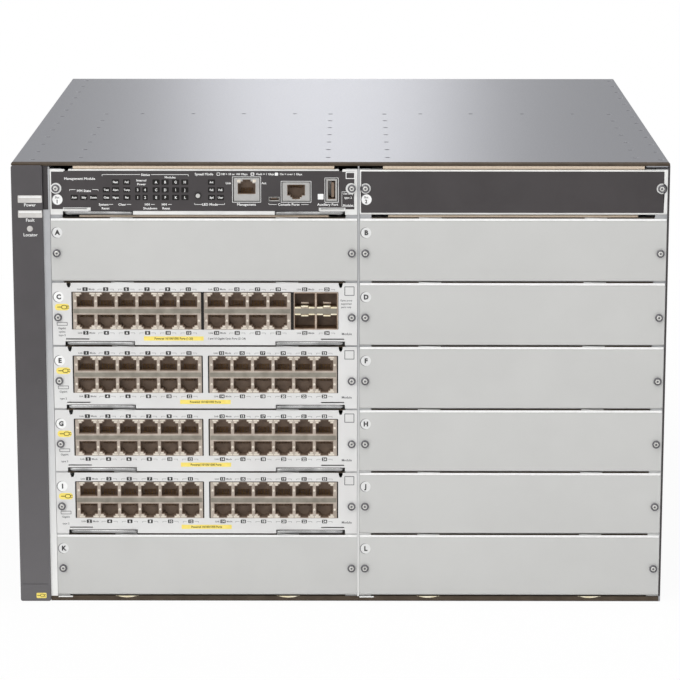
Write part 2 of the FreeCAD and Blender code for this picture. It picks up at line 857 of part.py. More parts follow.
def build_card(card):
    """A port module: tray, board, sockets, screws and two levers."""
    column, row = 0, card_rows[card]
    z = shelf_top[row] + board_top
    groups = port_groups(card, column)
    cutouts = [box(x - w / 2 - cutout_gap, x + w / 2 + cutout_gap, -1, 2 * thin_sheet,
                   z, z + jack_height + cutout_gap) for x, w in groups]
    save(card + "_tray", module_tray(column, row, cutouts))
    save(card + "_board", module_board(column, row))
    if card == "c":
        save("c_jacks", jack_block(groups[0][0], z, 6), jack_block(groups[1][0], z, 4))
        save("c_sfp_cage", sfp_cage(groups[2][0], z))
    else:
        save(card + "_jacks", *[jack_block(x, z, 6) for x, _ in groups])
    save(card + "_screws", *[screw(x, sz) for x, sz in screw_places(column, row)])
    for side, word in ((0, "left"), (1, "right")):
        save(card + "_lever_" + word, lever(column, row, side))


def socket_box(x, z, width, height, depth, gap=0.0, y0=0.0):
    """Block of a single socket standing on the board, grown by a gap for its cut-out."""
    return box(x - width / 2 - gap, x + width / 2 + gap, y0, depth, z - gap, z + height + gap)


def mm_sockets(x, z):
    """Two network sockets and two USB sockets of the management module."""
    y0 = jack_recess
    network = socket_box(x + network_port_x, z, network_jack_width, network_jack_height, jack_depth, y0=y0)
    opening_low = z + network_jack_height - port_height - socket_rim
    network = network.cut(port_opening(x + network_port_x, opening_low, True, y0))
    console = socket_box(x + console_port_x, z, console_jack_width, console_jack_height, jack_depth, y0=y0)
    console = console.cut(port_opening(x + console_port_x, z + port_height + socket_rim, False, y0))
    usb = socket_box(x + usb_x, z, usb_width, usb_height, usb_depth, y0=y0)
    usb = usb.cut(socket_box(x + usb_x, z + usb_wall, usb_width - 2 * usb_wall, usb_height - 2 * usb_wall,
                             usb_depth - usb_wall, y0=-1))
    micro = socket_box(x + micro_usb_x, z, micro_usb_width, micro_usb_height, micro_usb_depth, y0=y0)
    wall = micro_usb_wall
    micro = micro.cut(socket_box(x + micro_usb_x, z + wall, micro_usb_width - 2 * wall,
                                 micro_usb_height - 2 * wall, micro_usb_depth - wall, y0=-1))
    return network, console, usb, micro


def mm_cutouts(x, z):
    """Openings of the management module's plate."""
    sizes = ((network_port_x, network_jack_width, network_jack_height),
             (console_port_x, console_jack_width, console_jack_height),
             (usb_x, usb_width, usb_height), (micro_usb_x, micro_usb_width, micro_usb_height))
    holes = [socket_box(x + dx, z, w, h, 2 * thin_sheet, cutout_gap, -1) for dx, w, h in sizes]
    button = small_rod_y(x + mode_button_x, shelf_top[slot_rows] + mode_button_above_shelf,
                         mode_button_radius + lens_gap, -1, 2 * thin_sheet, button_sides)
    return holes + [button]


def mode_button(x, z):
    """Push button with a rim behind the plate that keeps it in."""
    stem = small_rod_y(x, z, mode_button_radius, -mode_button_proud, thin_sheet + 2 * lens_gap, button_sides)
    rim_start = thin_sheet + lens_gap
    rim = small_rod_y(x, z, mode_button_radius + mode_button_rim, rim_start, rim_start + mode_button_rim,
                      button_sides)
    return fused([stem, rim])


def mode_switch(x, z, board_z):
    """Switch on the board that the button presses."""
    y0 = thin_sheet + lens_gap + mode_button_rim + mode_button_travel + lens_gap
    half = mode_switch_size / 2
    return box(x - half, x + half, y0, y0 + mode_switch_size, board_z, z + half)


def build_management_module():
    """Management module in the upper left bay."""
    column, row = 0, slot_rows
    x, z = centre_of(column), shelf_top[row] + board_top
    button_x, button_z = x + mode_button_x, shelf_top[row] + mode_button_above_shelf
    save("mm_tray", module_tray(column, row, mm_cutouts(x, z)))
    save("mm_board", fused([module_board(column, row), mode_switch(button_x, button_z, z)]))
    save("mm_sockets", *mm_sockets(x, z))
    save("mm_screws", *[screw(sx, sz) for sx, sz in screw_places(column, row)])
    for side, word in ((0, "left"), (1, "right")):
        save("mm_lever_" + word, lever(column, row, side))
    save("mm_mode_button", mode_button(button_x, button_z))


# ---- back

def psu_places():
    """X and Z of the middle of each power supply: two columns, two rows."""
    half = (psu_width + psu_post) / 2
    rows = [psu_floor + psu_height / 2 + i * (psu_height + sheet) for i in (0, 1)]
    return [(x, z) for z in rows for x in (-half, half)]


def power_cage():
    """Shelf above the supplies, shelf between their rows and the post between their columns."""
    z_low = psu_floor + psu_height
    y0, y1 = psu_front, back_face
    upper = box(-inner_half, inner_half, y0, y1, cage_top, cage_top + sheet)
    lower = box(-inner_half, inner_half, y0, y1, z_low, z_low + sheet)
    post = box(-psu_post / 2 + face_gap, psu_post / 2 - face_gap, y0, y1, sheet, cage_top)
    return fused([upper, lower, post])


def rear_frame():
    """Back panel with an opening for the fan tray and one for each power supply."""
    y0, y1 = back_face, chassis_depth
    openings = [box(*fan_tray_sides(slide_gap), y0 - 1, y1 + 1, *fan_tray_heights(slide_gap))]
    for x, z in psu_places():
        openings.append(box(x - psu_width / 2, x + psu_width / 2, y0 - 1, y1 + 1,
                            z - psu_height / 2, z + psu_height / 2))
    return bulkhead(back_face).cut(openings)


def fan_tray_sides(gap):
    """Left and right of the fan tray, grown by a gap."""
    half = inner_half - frame_border + gap
    return -half, half


def fan_tray_heights(gap):
    """Bottom and top of the fan tray, grown by a gap."""
    return cage_top + sheet + slide_gap - gap, cover_under - sheet - fan_tray_margin + gap


def fan_places():
    """X and Z of each fan's axis, evenly across the tray."""
    left, right = fan_tray_sides(0)
    low, high = fan_tray_heights(0)
    pitch = (right - left) / fan_count
    return [(left + (i + 0.5) * pitch, (low + high) / 2) for i in range(fan_count)]


def fan_tray():
    """Tray with a back plate, four walls, a long floor with a plug, and a pull handle."""
    x0, x1 = fan_tray_sides(0)
    z0, z1 = fan_tray_heights(0)
    y0 = back_face - tray_wall_depth
    outer = box(x0, x1, y0, chassis_depth, z0, z1)
    inner = box(x0 + sheet, x1 - sheet, y0 - 1, back_face, z0 + sheet, z1 - sheet)
    half = fan_size / 2 - fan_lip
    windows = [box(x - half, x + half, back_face - 1, chassis_depth + 1, z - half, z + half)
               for x, z in fan_places()]
    plug_y = psu_front
    floor = box(x0, x1, plug_y, y0 + 1, z0, z0 + sheet)
    plug = box(-fan_plug_width / 2, fan_plug_width / 2, plug_y, plug_y + fan_plug_length,
               z0 + sheet, z0 + fan_plug_height)
    between_fans = fan_places()[-1][0] - (x1 - x0) / fan_count / 2
    handle = pull_handle(between_fans, (z0 + z1) / 2, tray_handle_width, tray_handle_reach,
                         tray_handle_bar, tray_handle_height, upright=True)
    return fused([outer.cut([inner] + windows), floor, plug, handle])


def pull_handle(x, z, width, reach, bar, height, upright=False):
    """Bent bar handle standing out of the back; an upright one is turned a quarter."""
    half = width / 2
    y0, y1 = chassis_depth, chassis_depth + reach
    lean = reach / 3
    outline = [(-half, y0), (-half + lean, y1), (half - lean, y1), (half, y0), (half - bar, y0),
               (half - bar - lean, y1 - bar), (-half + bar + lean, y1 - bar), (-half + bar, y0)]
    bar_solid = prism_z(outline, -height / 2, height / 2)
    if upright:
        bar_solid.rotate(Vector(0, 0, 0), Vector(0, 1, 0), 90)
    bar_solid.translate(Vector(x, 0, z))
    return bar_solid


def fan_bore():
    """Radius of a fan's bore."""
    return fan_size / 2 - fan_rim


def fan_frame(x, z):
    """Square fan housing with a round bore, four struts and the motor's plate at the back."""
    half, reach = fan_size / 2, fan_bore() + fan_rim / 2
    y0, y1 = back_face - fan_depth, back_face
    bore = small_rod_y(x, z, fan_bore(), y0 - 1, y1 + 1, bore_sides)
    frame = box(x - half, x + half, y0, y1, z - half, z + half).cut(bore)
    plate_front = y1 - fan_motor_plate
    strut = fan_strut / 2
    bars = [box(x - reach, x + reach, plate_front, y1, z - strut, z + strut),
            box(x - strut, x + strut, plate_front, y1, z - reach, z + reach)]
    return fused([frame, small_rod_y(x, z, fan_hub_radius, plate_front, y1, hub_sides)] + bars)


def bowed_line(chord, bow, drop, steps):
    """Points of a shallow arc of the given chord and bow, lowered by a drop."""
    radius = (chord ** 2 / 4 + bow ** 2) / (2 * bow)
    half = math.degrees(math.asin(chord / 2 / radius))
    return [(u, v - radius + bow - drop) for u, v in arc_points(0, 0, radius, 90 + half, 90 - half, steps)]


def fan_blade(middle_y):
    """One blade: a thin bowed section set at an angle, carried from the hub to the tip."""
    upper = bowed_line(fan_blade_chord, fan_blade_bow, 0, fan_blade_steps)
    lower = bowed_line(fan_blade_chord, fan_blade_bow, fan_blade_thickness, fan_blade_steps)
    root = fan_hub_radius - fan_root_depth
    turn = math.radians(fan_blade_angle)
    half_chord = fan_blade_chord / 2 * math.cos(turn) + fan_blade_bow
    tip = math.sqrt((fan_bore() - fan_tip_gap) ** 2 - half_chord ** 2)
    points = [Vector(u, v + middle_y, root) for u, v in upper + lower[::-1]]
    section = face_of(points)
    section.rotate(Vector(0, middle_y, 0), Vector(0, 0, 1), fan_blade_angle)
    return section.extrude(Vector(0, 0, tip - root))


def fan_rotor(x, z):
    """Hub cup with its ring of blades, turning in front of the motor's plate."""
    y1 = back_face - fan_motor_plate - slide_gap
    y0 = back_face - fan_depth + slide_gap
    blades = []
    for i in range(fan_blades):
        blade = fan_blade((y0 + y1) / 2)
        blade.rotate(Vector(0, 0, 0), Vector(0, 1, 0), i * 360 / fan_blades)
        blades.append(blade)
    rotor = fused([small_rod_y(0, 0, fan_hub_radius, y0, y1, hub_sides)] + blades)
    rotor.translate(Vector(x, 0, z))
    return rotor


def power_supply(x, z):
    """Closed supply with an inlet, air slots and a handle on its back."""
    half_w, half_h = psu_width / 2 - slide_gap, psu_height / 2 - slide_gap
    body = box(x - half_w, x + half_w, psu_front, chassis_depth, z - half_h, z + half_h)
    ix, w, h, c = x + inlet_offset, inlet_width / 2, inlet_height / 2, inlet_chamfer
    outline = [(ix - w, z - h), (ix + w, z - h), (ix + w, z + h - c),
               (ix + w - c, z + h), (ix - w + c, z + h), (ix - w, z + h - c)]
    inlet = prism_y(outline, chassis_depth - inlet_depth, chassis_depth + 1)
    slots = []
    for i in range(psu_vent_count):
        vx = x + psu_vent_offset + i * psu_vent_pitch
        slots.append(box(vx, vx + psu_vent_width, chassis_depth - psu_vent_depth, chassis_depth + 1,
                         z - psu_vent_height / 2, z + psu_vent_height / 2))
    handle = pull_handle(x + psu_handle_offset, z, psu_handle_width, psu_handle_reach, psu_handle_bar,
                         psu_handle_height)
    return fused([body.cut([inlet] + slots), handle])


def build_chassis():
    """Everything that stays with the chassis."""
    save("outer_shell", outer_shell())
    save("top_cover", top_cover())
    save("front_bezel", front_bezel())
    save("status_lenses", *status_lenses())
    save("left_bay_wall", left_bay_wall())
    save("centre_wall", centre_wall())
    save("mounting_rails", *mounting_rails())
    save("slot_shelves", *slot_shelves())
    save("midplane_frame", midplane_frame())
    save("midplane_board", midplane_board())
    save("power_cage", power_cage())
    save("rear_frame", rear_frame())
    save("shield_gaskets", *shield_gaskets())
    spare_bay = (1, slot_rows)
    save("mm_slot_cover", slot_cover(*spare_bay))
    save("slot_covers", *[slot_cover(column, row) for column, row in covered_slots()])
    places = [place for slot in covered_slots() + [spare_bay] for place in screw_places(*slot)]
    save("cover_screws", *[screw(x, z) for x, z in places])


def build_back():
    """Fan tray with its fans, and the power supplies."""
    save("fan_tray", fan_tray())
    save("fan_frames", *[fan_frame(x, z) for x, z in fan_places()])
    for i, (x, z) in enumerate(fan_places(), 1):
        save("fan_rotor_%d" % i, fan_rotor(x, z))
    for i, (x, z) in enumerate(psu_places(), 1):
        save("psu_%d" % i, power_supply(x, z))


os.makedirs("parts", exist_ok=True)
build_chassis()
build_management_module()
for card in card_rows:
    build_card(card)
build_back()
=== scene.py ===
"""Dressed model of a seven-unit modular rack switch.

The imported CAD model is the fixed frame. Each sub-assembly below takes its places from that frame,
builds its finer surfaces with numpy and dresses them. Sizes in the classes are millimetres in the
row frame: X to the right seen from the front, Y from the front to the back, Z up.
"""

import json
import logging
import math
from dataclasses import dataclass, field
from enum import Enum

import bpy
import numpy as np
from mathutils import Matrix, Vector
from mathutils.geometry import tessellate_polygon

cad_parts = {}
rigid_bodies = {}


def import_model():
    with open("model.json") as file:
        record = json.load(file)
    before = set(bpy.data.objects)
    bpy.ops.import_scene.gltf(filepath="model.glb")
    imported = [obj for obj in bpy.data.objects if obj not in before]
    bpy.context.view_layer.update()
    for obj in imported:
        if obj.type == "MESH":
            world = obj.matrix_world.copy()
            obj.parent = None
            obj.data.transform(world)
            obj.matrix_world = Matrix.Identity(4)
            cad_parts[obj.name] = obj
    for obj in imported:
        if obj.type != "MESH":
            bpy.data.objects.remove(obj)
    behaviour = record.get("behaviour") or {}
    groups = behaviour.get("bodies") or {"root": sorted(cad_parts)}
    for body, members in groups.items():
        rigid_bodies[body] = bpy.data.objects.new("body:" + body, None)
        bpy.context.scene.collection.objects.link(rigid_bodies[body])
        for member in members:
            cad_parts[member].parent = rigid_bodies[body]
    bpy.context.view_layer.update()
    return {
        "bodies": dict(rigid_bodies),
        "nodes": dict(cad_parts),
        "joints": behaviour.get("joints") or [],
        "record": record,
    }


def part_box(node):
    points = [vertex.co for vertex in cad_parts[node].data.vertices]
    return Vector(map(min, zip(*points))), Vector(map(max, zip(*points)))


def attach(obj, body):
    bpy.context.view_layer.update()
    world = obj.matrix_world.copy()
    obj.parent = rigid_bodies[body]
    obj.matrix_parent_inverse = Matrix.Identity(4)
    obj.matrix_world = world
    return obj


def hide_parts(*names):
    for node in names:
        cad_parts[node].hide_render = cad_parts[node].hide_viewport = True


LOG = logging.getLogger("rack_switch")
MM = 0.001
#: How far in mm print stands off its surface.
PRINT_GAP = 0.04
#: Depth in metres that a full relief stands for.
RELIEF_DEPTH = 0.0002
Array = np.ndarray
Block = tuple[Array, list[Array]]
Place = tuple[float, float, float]
Tree = bpy.types.NodeTree
Node = bpy.types.Node
Socket = bpy.types.NodeSocket


# ---------------------------------------------------------------- finishes

def linear(code: str) -> tuple[float, float, float, float]:
    """Turn an sRGB hex code into linear RGBA.

    Args:
        code: Six hex digits after a hash.

    Returns:
        Linear red, green, blue and an alpha of one.
    """
    values = [int(code[i:i + 2], 16) / 255 for i in (1, 3, 5)]
    red, green, blue = [v / 12.92 if v <= 0.04045 else ((v + 0.055) / 1.055) ** 2.4 for v in values]
    return red, green, blue, 1.0


def add_node(tree: Tree, kind: str, inputs: dict[str | int, object], **settings: object) -> Node:
    """Add a shader node.

    Args:
        tree: Tree that it joins.
        kind: Its type, without the leading ShaderNode.
        inputs: For each input a socket to link or a value to set.
        settings: Attributes, set before the inputs.

    Returns:
        The node.
    """
    node = tree.nodes.new(f"ShaderNode{kind}")
    for name, setting in settings.items():
        setattr(node, name, setting)
    for name, value in inputs.items():
        if isinstance(value, Socket):
            tree.links.new(value, node.inputs[name])
        else:
            node.inputs[name].default_value = value
    return node


def carried(tree: Tree, value: Socket, low: float, high: float, start: float = 0.3, end: float = 0.7) -> Socket:
    """Carry a value from one range to another, held at both ends.

    Args:
        tree: Tree of the material.
        value: Number to carry.
        low: Result at the start.
        high: Result at the end.
        start: Value that gives low.
        end: Value that gives high.

    Returns:
        The result's socket.
    """
    spans = {"From Min": start, "From Max": end, "To Min": low, "To Max": high}
    return add_node(tree, "MapRange", {"Value": value, **spans}).outputs["Result"]


@dataclass(frozen=True)
class Finish:
    """A procedural surface: a colour that wanders, uneven gloss and a fine relief.

    Lengths in the patterns are given as repeats per metre, read from Object coordinates.
    """

    name: str
    colour: str
    shade: str
    patch: float = 30.0
    roughness: float = 0.5
    uneven: float = 0.08
    metallic: float = 0.0
    grain: float = 900.0
    stretch: Place = (1.0, 1.0, 1.0)
    relief: float = 0.1
    specular: float = 0.5
    tint: str = "#ffffff"
    # Painted light: a lighter colour that the surface turns into towards the ground, and the height where it starts.
    foot: str = ""
    foot_height: float = 0.2

    def material(self) -> bpy.types.Material:
        """The Blender material of this finish, made once."""
        return bpy.data.materials.get(f"{self.name}_finish") or self._make()

    def _make(self) -> bpy.types.Material:
        """Create the material with its nodes.

        Returns:
            The new material.
        """
        made = bpy.data.materials.new(f"{self.name}_finish")
        made.use_nodes = True
        shader = made.node_tree.nodes["Principled BSDF"]
        shader.inputs["Metallic"].default_value = self.metallic
        shader.inputs["Specular IOR Level"].default_value = self.specular
        shader.inputs["Specular Tint"].default_value = linear(self.tint)
        self._paint(made.node_tree, shader)
        made.diffuse_color = linear(self.colour)
        return made

    def _place(self, tree: Tree, stretch: Place = (1.0, 1.0, 1.0)) -> Socket:
        """Object coordinates, stretched along the axes."""
        place = add_node(tree, "TexCoord", {}).outputs["Object"]
        return add_node(tree, "Mapping", {"Vector": place, "Scale": stretch}).outputs["Vector"]

    def _noise(self, tree: Tree, place: Socket, scale: float, detail: float) -> Socket:
        """A noise value between nought and one."""
        return add_node(tree, "TexNoise", {"Vector": place, "Scale": scale, "Detail": detail}).outputs["Fac"]

    def _colours(self, tree: Tree, value: Socket, low: float, high: float) -> Socket:
        """Colours that run from shade to colour while the value goes from low to high.

        Args:
            tree: Tree of the material.
            value: Number that picks the colour.
            low: Value at which it leaves the shade.
            high: Value at which it reaches the colour.

        Returns:
            The colour's socket.
        """
        ramp = add_node(tree, "ValToRGB", {"Fac": value})
        stops = ramp.color_ramp.elements
        stops[0].position, stops[0].color = low, linear(self.shade)
        stops[1].position, stops[1].color = high, linear(self.colour)
        return ramp.outputs["Color"]

    def _footed(self, tree: Tree, place: Socket, colour: Socket) -> Socket:
        """The colour, turning into the foot colour from the foot height down to the ground: painted light that makes
        the lower part lighter.

        Args:
            tree: Tree of the material.
            place: Object coordinates.
            colour: Colour above the foot.

        Returns:
            The mixed colour's socket.
        """
        height = add_node(tree, "SeparateXYZ", {"Vector": place}).outputs["Z"]
        share = carried(tree, height, 1.0, 0.0, 0.0, self.foot_height)
        return add_node(tree, "Mix", {"Factor": share, "A": colour, "B": linear(self.foot)},
                        data_type="RGBA").outputs["Result"]

    def _skin(self, tree: Tree, shader: Node, colour: Socket, gloss: Socket, height: Socket) -> None:
        """Link colour, gloss and relief into the shader.

        Args:
            tree: Tree of the material.
            shader: Shader node.
            colour: Base colour.
            gloss: Noise that the roughness follows.
            height: Pattern that becomes the relief.
        """
        rough = carried(tree, gloss, self.roughness - self.uneven, self.roughness + self.uneven)
        bump = add_node(tree, "Bump", {"Strength": self.relief, "Distance": RELIEF_DEPTH, "Height": height})
        for name, value in (("Base Color", colour), ("Roughness", rough), ("Normal", bump.outputs["Normal"])):
            tree.links.new(value, shader.inputs[name])

    def _paint(self, tree: Tree, shader: Node) -> None:
        """Fill the shader's colour, gloss and relief.

        Colour: slow noise mixed between colour and shade. Roughness: noise a few times finer.
        Relief: fine noise, stretched where the surface is brushed, as a bump.

        Args:
            tree: Tree of the material.
            shader: Shader node.
        """
        place, brushed = self._place(tree), self._place(tree, self.stretch)
        colour = self._colours(tree, self._noise(tree, place, self.patch, 4.0), 0.35, 0.65)
        colour = self._footed(tree, place, colour) if self.foot else colour
        self._skin(tree, shader, colour, self._noise(tree, brushed, self.patch * 6, 3.0),
                   self._noise(tree, brushed, self.grain, 2.0))


@dataclass(frozen=True)
class Ink(Finish):
    """Printed ink: nearly flat, with a fine even surface."""

    patch: float = 400.0
    uneven: float = 0.04
    grain: float = 3000.0
    relief: float = 0.05


@dataclass(frozen=True)
class ClearPlastic(Finish):
    """Milky moulded plastic that lets some light in, for the lenses and light pipes."""

    inner: float = 0.2

    def _paint(self, tree: Tree, shader: Node) -> None:
        """As Finish, with light scattered below the surface.

        Args:
            tree: Tree of the material.
            shader: Shader node.
        """
        super()._paint(tree, shader)
        shader.inputs["Subsurface Weight"].default_value = self.inner
        shader.inputs["Subsurface Scale"].default_value = 0.0003
        shader.inputs["Subsurface Radius"].default_value = (1.0, 1.0, 1.0)


@dataclass(frozen=True)
class Cloth(Finish):
    """Conductive cloth over foam: a plain weave of two crossed waves as relief and colour."""

    threads: float = 2200.0

    def _paint(self, tree: Tree, shader: Node) -> None:
        """Two band waves at right angles, multiplied, mixed into colour and bump.

        A band wave of scale s has about 6.3 s crests per metre.

        Args:
            tree: Tree of the material.
            shader: Shader node.
        """
        place = self._place(tree)
        across, up = (add_node(tree, "TexWave", {"Vector": place, "Scale": self.threads / 6.3},
                               bands_direction=way).outputs["Fac"] for way in ("X", "Z"))
        woven = add_node(tree, "Math", {0: across, 1: up}, operation="MULTIPLY").outputs[0]
        self._skin(tree, shader, self._colours(tree, woven, 0.0, 0.7), self._noise(tree, place, self.patch, 3.0),
                   woven)


COVER_STEEL = Finish("cover_steel", "#a6a7ab", "#9fa0a4", patch=700.0, roughness=0.38, uneven=0.03, metallic=0.85,
                     grain=2600.0, stretch=(1.0, 0.35, 1.0), relief=0.2, tint="#9a9a9c")
DIMPLE_SHADE = Finish("dimple_shade", "#6b6b6f", "#5c5c60", patch=300.0, metallic=0.6,
                      tint="#6a6a6c")
BARE_STEEL = Finish("bare_steel", "#b7b6b4", "#b1b0ae", patch=220.0, roughness=0.38, uneven=0.04, metallic=0.85,
                    grain=2200.0, stretch=(0.3, 1.0, 1.0), relief=0.15)
# Painted shade: dark brown for the cover's front fold and lip, the bottom sill and the shelf edges.
PAINTED_EDGE_SHADE = Finish("painted_edge_shade", "#574d43", "#4d443b", patch=90.0, roughness=0.8, uneven=0.05, grain=1800.0,
                   relief=0.15, specular=0.05)
# Its foot colour is painted light: lighter from 0.2 m down to the floor.
BRIGHT_SHEET = Finish("bright_sheet", "#b8b9bb", "#b0b1b4", patch=60.0, roughness=0.42, uneven=0.05, metallic=0.2,
                      grain=2400.0, stretch=(1.0, 1.0, 0.3), relief=0.08, foot="#f4f4f2", foot_height=0.2)
BLANK_GREY = Finish("blank_grey", "#cbcbc9", "#c8c8c6", patch=24.0, roughness=0.55, uneven=0.04,
                    grain=3200.0, specular=0.35)
MODULE_WHITE = Finish("module_white", "#e3e3e2", "#dddcdb", patch=30.0, roughness=0.48, uneven=0.05,
                      grain=3000.0, relief=0.08, specular=0.4)
PLATE_SILVER = Finish("plate_silver", "#ececea", "#e0e0de", patch=60.0, roughness=0.38, uneven=0.06, metallic=0.3,
                      grain=2400.0, stretch=(0.3, 1.0, 1.0))
CHARCOAL_METAL = Finish("charcoal_metal", "#403c3d", "#3b3738", patch=40.0, uneven=0.06,
                        grain=3000.0, relief=0.15, specular=0.4)
# Its foot colour is painted light: lighter from 0.17 m down to the floor.
CHARCOAL_PLASTIC = Finish("charcoal_plastic", "#4f4c4e", "#4b484a", patch=50.0, roughness=0.46, uneven=0.05,
                          grain=2400.0, relief=0.2, specular=0.4, foot="#666466", foot_height=0.17)
CLEAR_LENS = ClearPlastic("clear_lens", "#d8d5d2", "#c9c6c3", patch=120.0, roughness=0.3, uneven=0.04,
                          grain=1500.0, relief=0.05)
# Also used as a painted highlight on the pressed domes of the socket shields.
LIGHT_PIPE_AND_HIGHLIGHT = ClearPlastic("light_pipe_and_highlight", "#ebe2d4", "#d9cfc0", patch=300.0, roughness=0.25, uneven=0.04,
                          grain=1500.0, relief=0.05)
LEVER_STEEL = Finish("lever_steel", "#b0b0b0", "#8f8f8f", patch=90.0, roughness=0.22, uneven=0.05, metallic=0.95,
                     grain=1600.0, stretch=(0.2, 1.0, 1.0))
SCREW_STEEL = Finish("screw_steel", "#e2e1dd", "#c9c8c4", patch=400.0, roughness=0.3, uneven=0.06, metallic=0.7,
                     grain=2500.0)
# Painted shade: the screw rims are darker than the heads.
SCREW_RIM_SHADE = Finish("screw_rim_shade", "#77767a", "#646367", patch=400.0, roughness=0.4, uneven=0.06, metallic=0.7,
                   grain=2500.0, relief=0.15)
JACK_SHIELD = Finish("jack_shield", "#bdb1a6", "#a69a8e", patch=160.0, roughness=0.36, uneven=0.08, metallic=0.7,
                     grain=1800.0, stretch=(0.3, 1.0, 1.0), relief=0.2)
SHIELD_BAND = Finish("shield_band", "#959085", "#837e74", patch=160.0, roughness=0.42, uneven=0.08, metallic=0.6,
                     grain=1800.0, stretch=(0.3, 1.0, 1.0), relief=0.2)
PORT_PLASTIC = Finish("port_plastic", "#8a7767", "#786658", patch=200.0, uneven=0.05,
                      grain=2500.0, specular=0.3)
CONTACT_GOLD = Finish("contact_gold", "#c9a253", "#a8843c", patch=500.0, roughness=0.3, uneven=0.05, metallic=1.0,
                      grain=2500.0, relief=0.05)
CAGE_STEEL = Finish("cage_steel", "#c9b9aa", "#ab9a8b", patch=180.0, roughness=0.34, uneven=0.07, metallic=0.7,
                    grain=2000.0, stretch=(1.0, 0.3, 1.0), relief=0.15)
# Painted shade: darker brown for the inside of the optic cage.
CAGE_INSIDE_SHADE = Finish("cage_inside_shade", "#7d6147", "#5c4633", patch=180.0, roughness=0.42, uneven=0.07, metallic=0.4,
                     grain=2000.0, relief=0.15)
# Painted highlight: near white for the cage's spring tongues and the sill's tongue marks.
SPRING_HIGHLIGHT = Finish("spring_highlight", "#fbf3dc", "#f0e2bd", patch=300.0, roughness=0.3, uneven=0.05, metallic=0.3,
                       grain=2000.0, relief=0.05)
BOARD_GREEN = Finish("board_green", "#24503a", "#1d4431", patch=90.0, roughness=0.42, uneven=0.06,
                     grain=1200.0, relief=0.3)
GASKET_CLOTH = Cloth("gasket_cloth", "#f5e6d3", "#c0ad97", patch=200.0, roughness=0.75, uneven=0.08, relief=0.5)
FAN_BLACK = Finish("fan_black", "#232325", "#1b1b1d", patch=60.0, uneven=0.06,
                   grain=1800.0, relief=0.2, specular=0.4)
BUTTON_GREY = Finish("button_grey", "#cfcecb", "#bcbbb8", patch=300.0, roughness=0.42, uneven=0.05,
                     grain=2500.0)
INK_DARK = Ink("ink_dark", "#2a2929", "#333232")
INK_GREY = Ink("ink_grey", "#6a6a6c", "#747476")
# Also a painted highlight on the lens bars and on the top edges of the blank covers.
WHITE_INK_AND_HIGHLIGHT = Ink("white_ink_and_highlight", "#fafaf9", "#f2f2f1")
INK_PALE = Ink("ink_pale", "#e6e6e5", "#dedede")
INK_YELLOW = Ink("ink_yellow", "#fbe87e", "#f7e06a", patch=300.0)
INK_OLIVE = Ink("ink_olive", "#6e611f", "#5f541b")
# Painted shade for recesses and gaps; also the black of the printed windows on the management module.
PAINTED_SHADE_AND_BLACK_INK = Finish("painted_shade_and_black_ink", "#1c1a19", "#232120", patch=90.0, roughness=0.7, uneven=0.05, grain=1500.0,
                      relief=0.1, specular=0.2)

SLOT_FINISHES = {f.name: f for f in (
    COVER_STEEL, BARE_STEEL, BLANK_GREY, MODULE_WHITE, CHARCOAL_METAL, CHARCOAL_PLASTIC, CLEAR_LENS, LEVER_STEEL,
    SCREW_STEEL, JACK_SHIELD, CAGE_STEEL, BOARD_GREEN, GASKET_CLOTH, FAN_BLACK, BUTTON_GREY)}


# ---------------------------------------------------------------- surfaces

class Facing(Enum):
    """Which way the shown side of a flat piece looks: its u, v and depth directions."""

    FRONT = ((1, 0, 0), (0, 0, 1), (0, 1, 0))
    BACK = ((-1, 0, 0), (0, 0, 1), (0, -1, 0))
    UP = ((1, 0, 0), (0, 1, 0), (0, 0, -1))


def signed_area(loop: Array) -> float:
    """Area of a loop, positive where it runs anticlockwise.

    Half the sum of x times next y minus next x times y.
    """
    ahead = np.roll(loop, -1, axis=0)
    return float(np.sum(loop[:, 0] * ahead[:, 1] - ahead[:, 0] * loop[:, 1]) / 2)


def inset(loop: Array, distance: float) -> Array:
    """Move a loop towards its left by a distance, with mitred corners.

    Each corner moves along the sum of its two edge normals, divided by one plus their dot product.

    Args:
        loop: Outline in two coordinates.
        distance: How far it moves.

    Returns:
        The moved loop.
    """
    ahead = np.roll(loop, -1, axis=0) - loop
    ahead = ahead / np.linalg.norm(ahead, axis=1, keepdims=True)
    normal = np.stack([-ahead[:, 1], ahead[:, 0]], axis=1)
    before = np.roll(normal, 1, axis=0)
    share = 1 + np.sum(normal * before, axis=1, keepdims=True)
    return loop + distance * (normal + before) / np.maximum(share, 0.35)


def arc(x: float, y: float, radius: float, start: float, end: float, steps: int) -> Array:
    """Points on a circle about (x, y) from one angle to another, in degrees, both ends kept."""
    turn = np.radians(np.linspace(start, end, steps + 1))
    return np.stack([x + radius * np.cos(turn), y + radius * np.sin(turn)], axis=1)


def disc_loop(x: float, y: float, radius: float, steps: int = 32) -> Array:
    """A closed circle as a loop, its last point left out."""
    return arc(x, y, radius, 0, 360, steps)[:-1]


def round_rectangle(x0: float, x1: float, y0: float, y1: float, radius: float, steps: int = 3) -> Array:
    """A rectangle whose corners are quarter circles, anticlockwise.

    Args:
        x0: Lower end in the first coordinate.
        x1: Upper end in the first coordinate.
        y0: Lower end in the second coordinate.
        y1: Upper end in the second coordinate.
        radius: Radius of the round.
        steps: Steps in each round.

    Returns:
        Closed outline.
    """
    r = min(radius, (x1 - x0) / 2 - 1e-4, (y1 - y0) / 2 - 1e-4)
    return np.concatenate([
        arc(x1 - r, y0 + r, r, -90, 0, steps), arc(x1 - r, y1 - r, r, 0, 90, steps),
        arc(x0 + r, y1 - r, r, 90, 180, steps), arc(x0 + r, y0 + r, r, 180, 270, steps)])


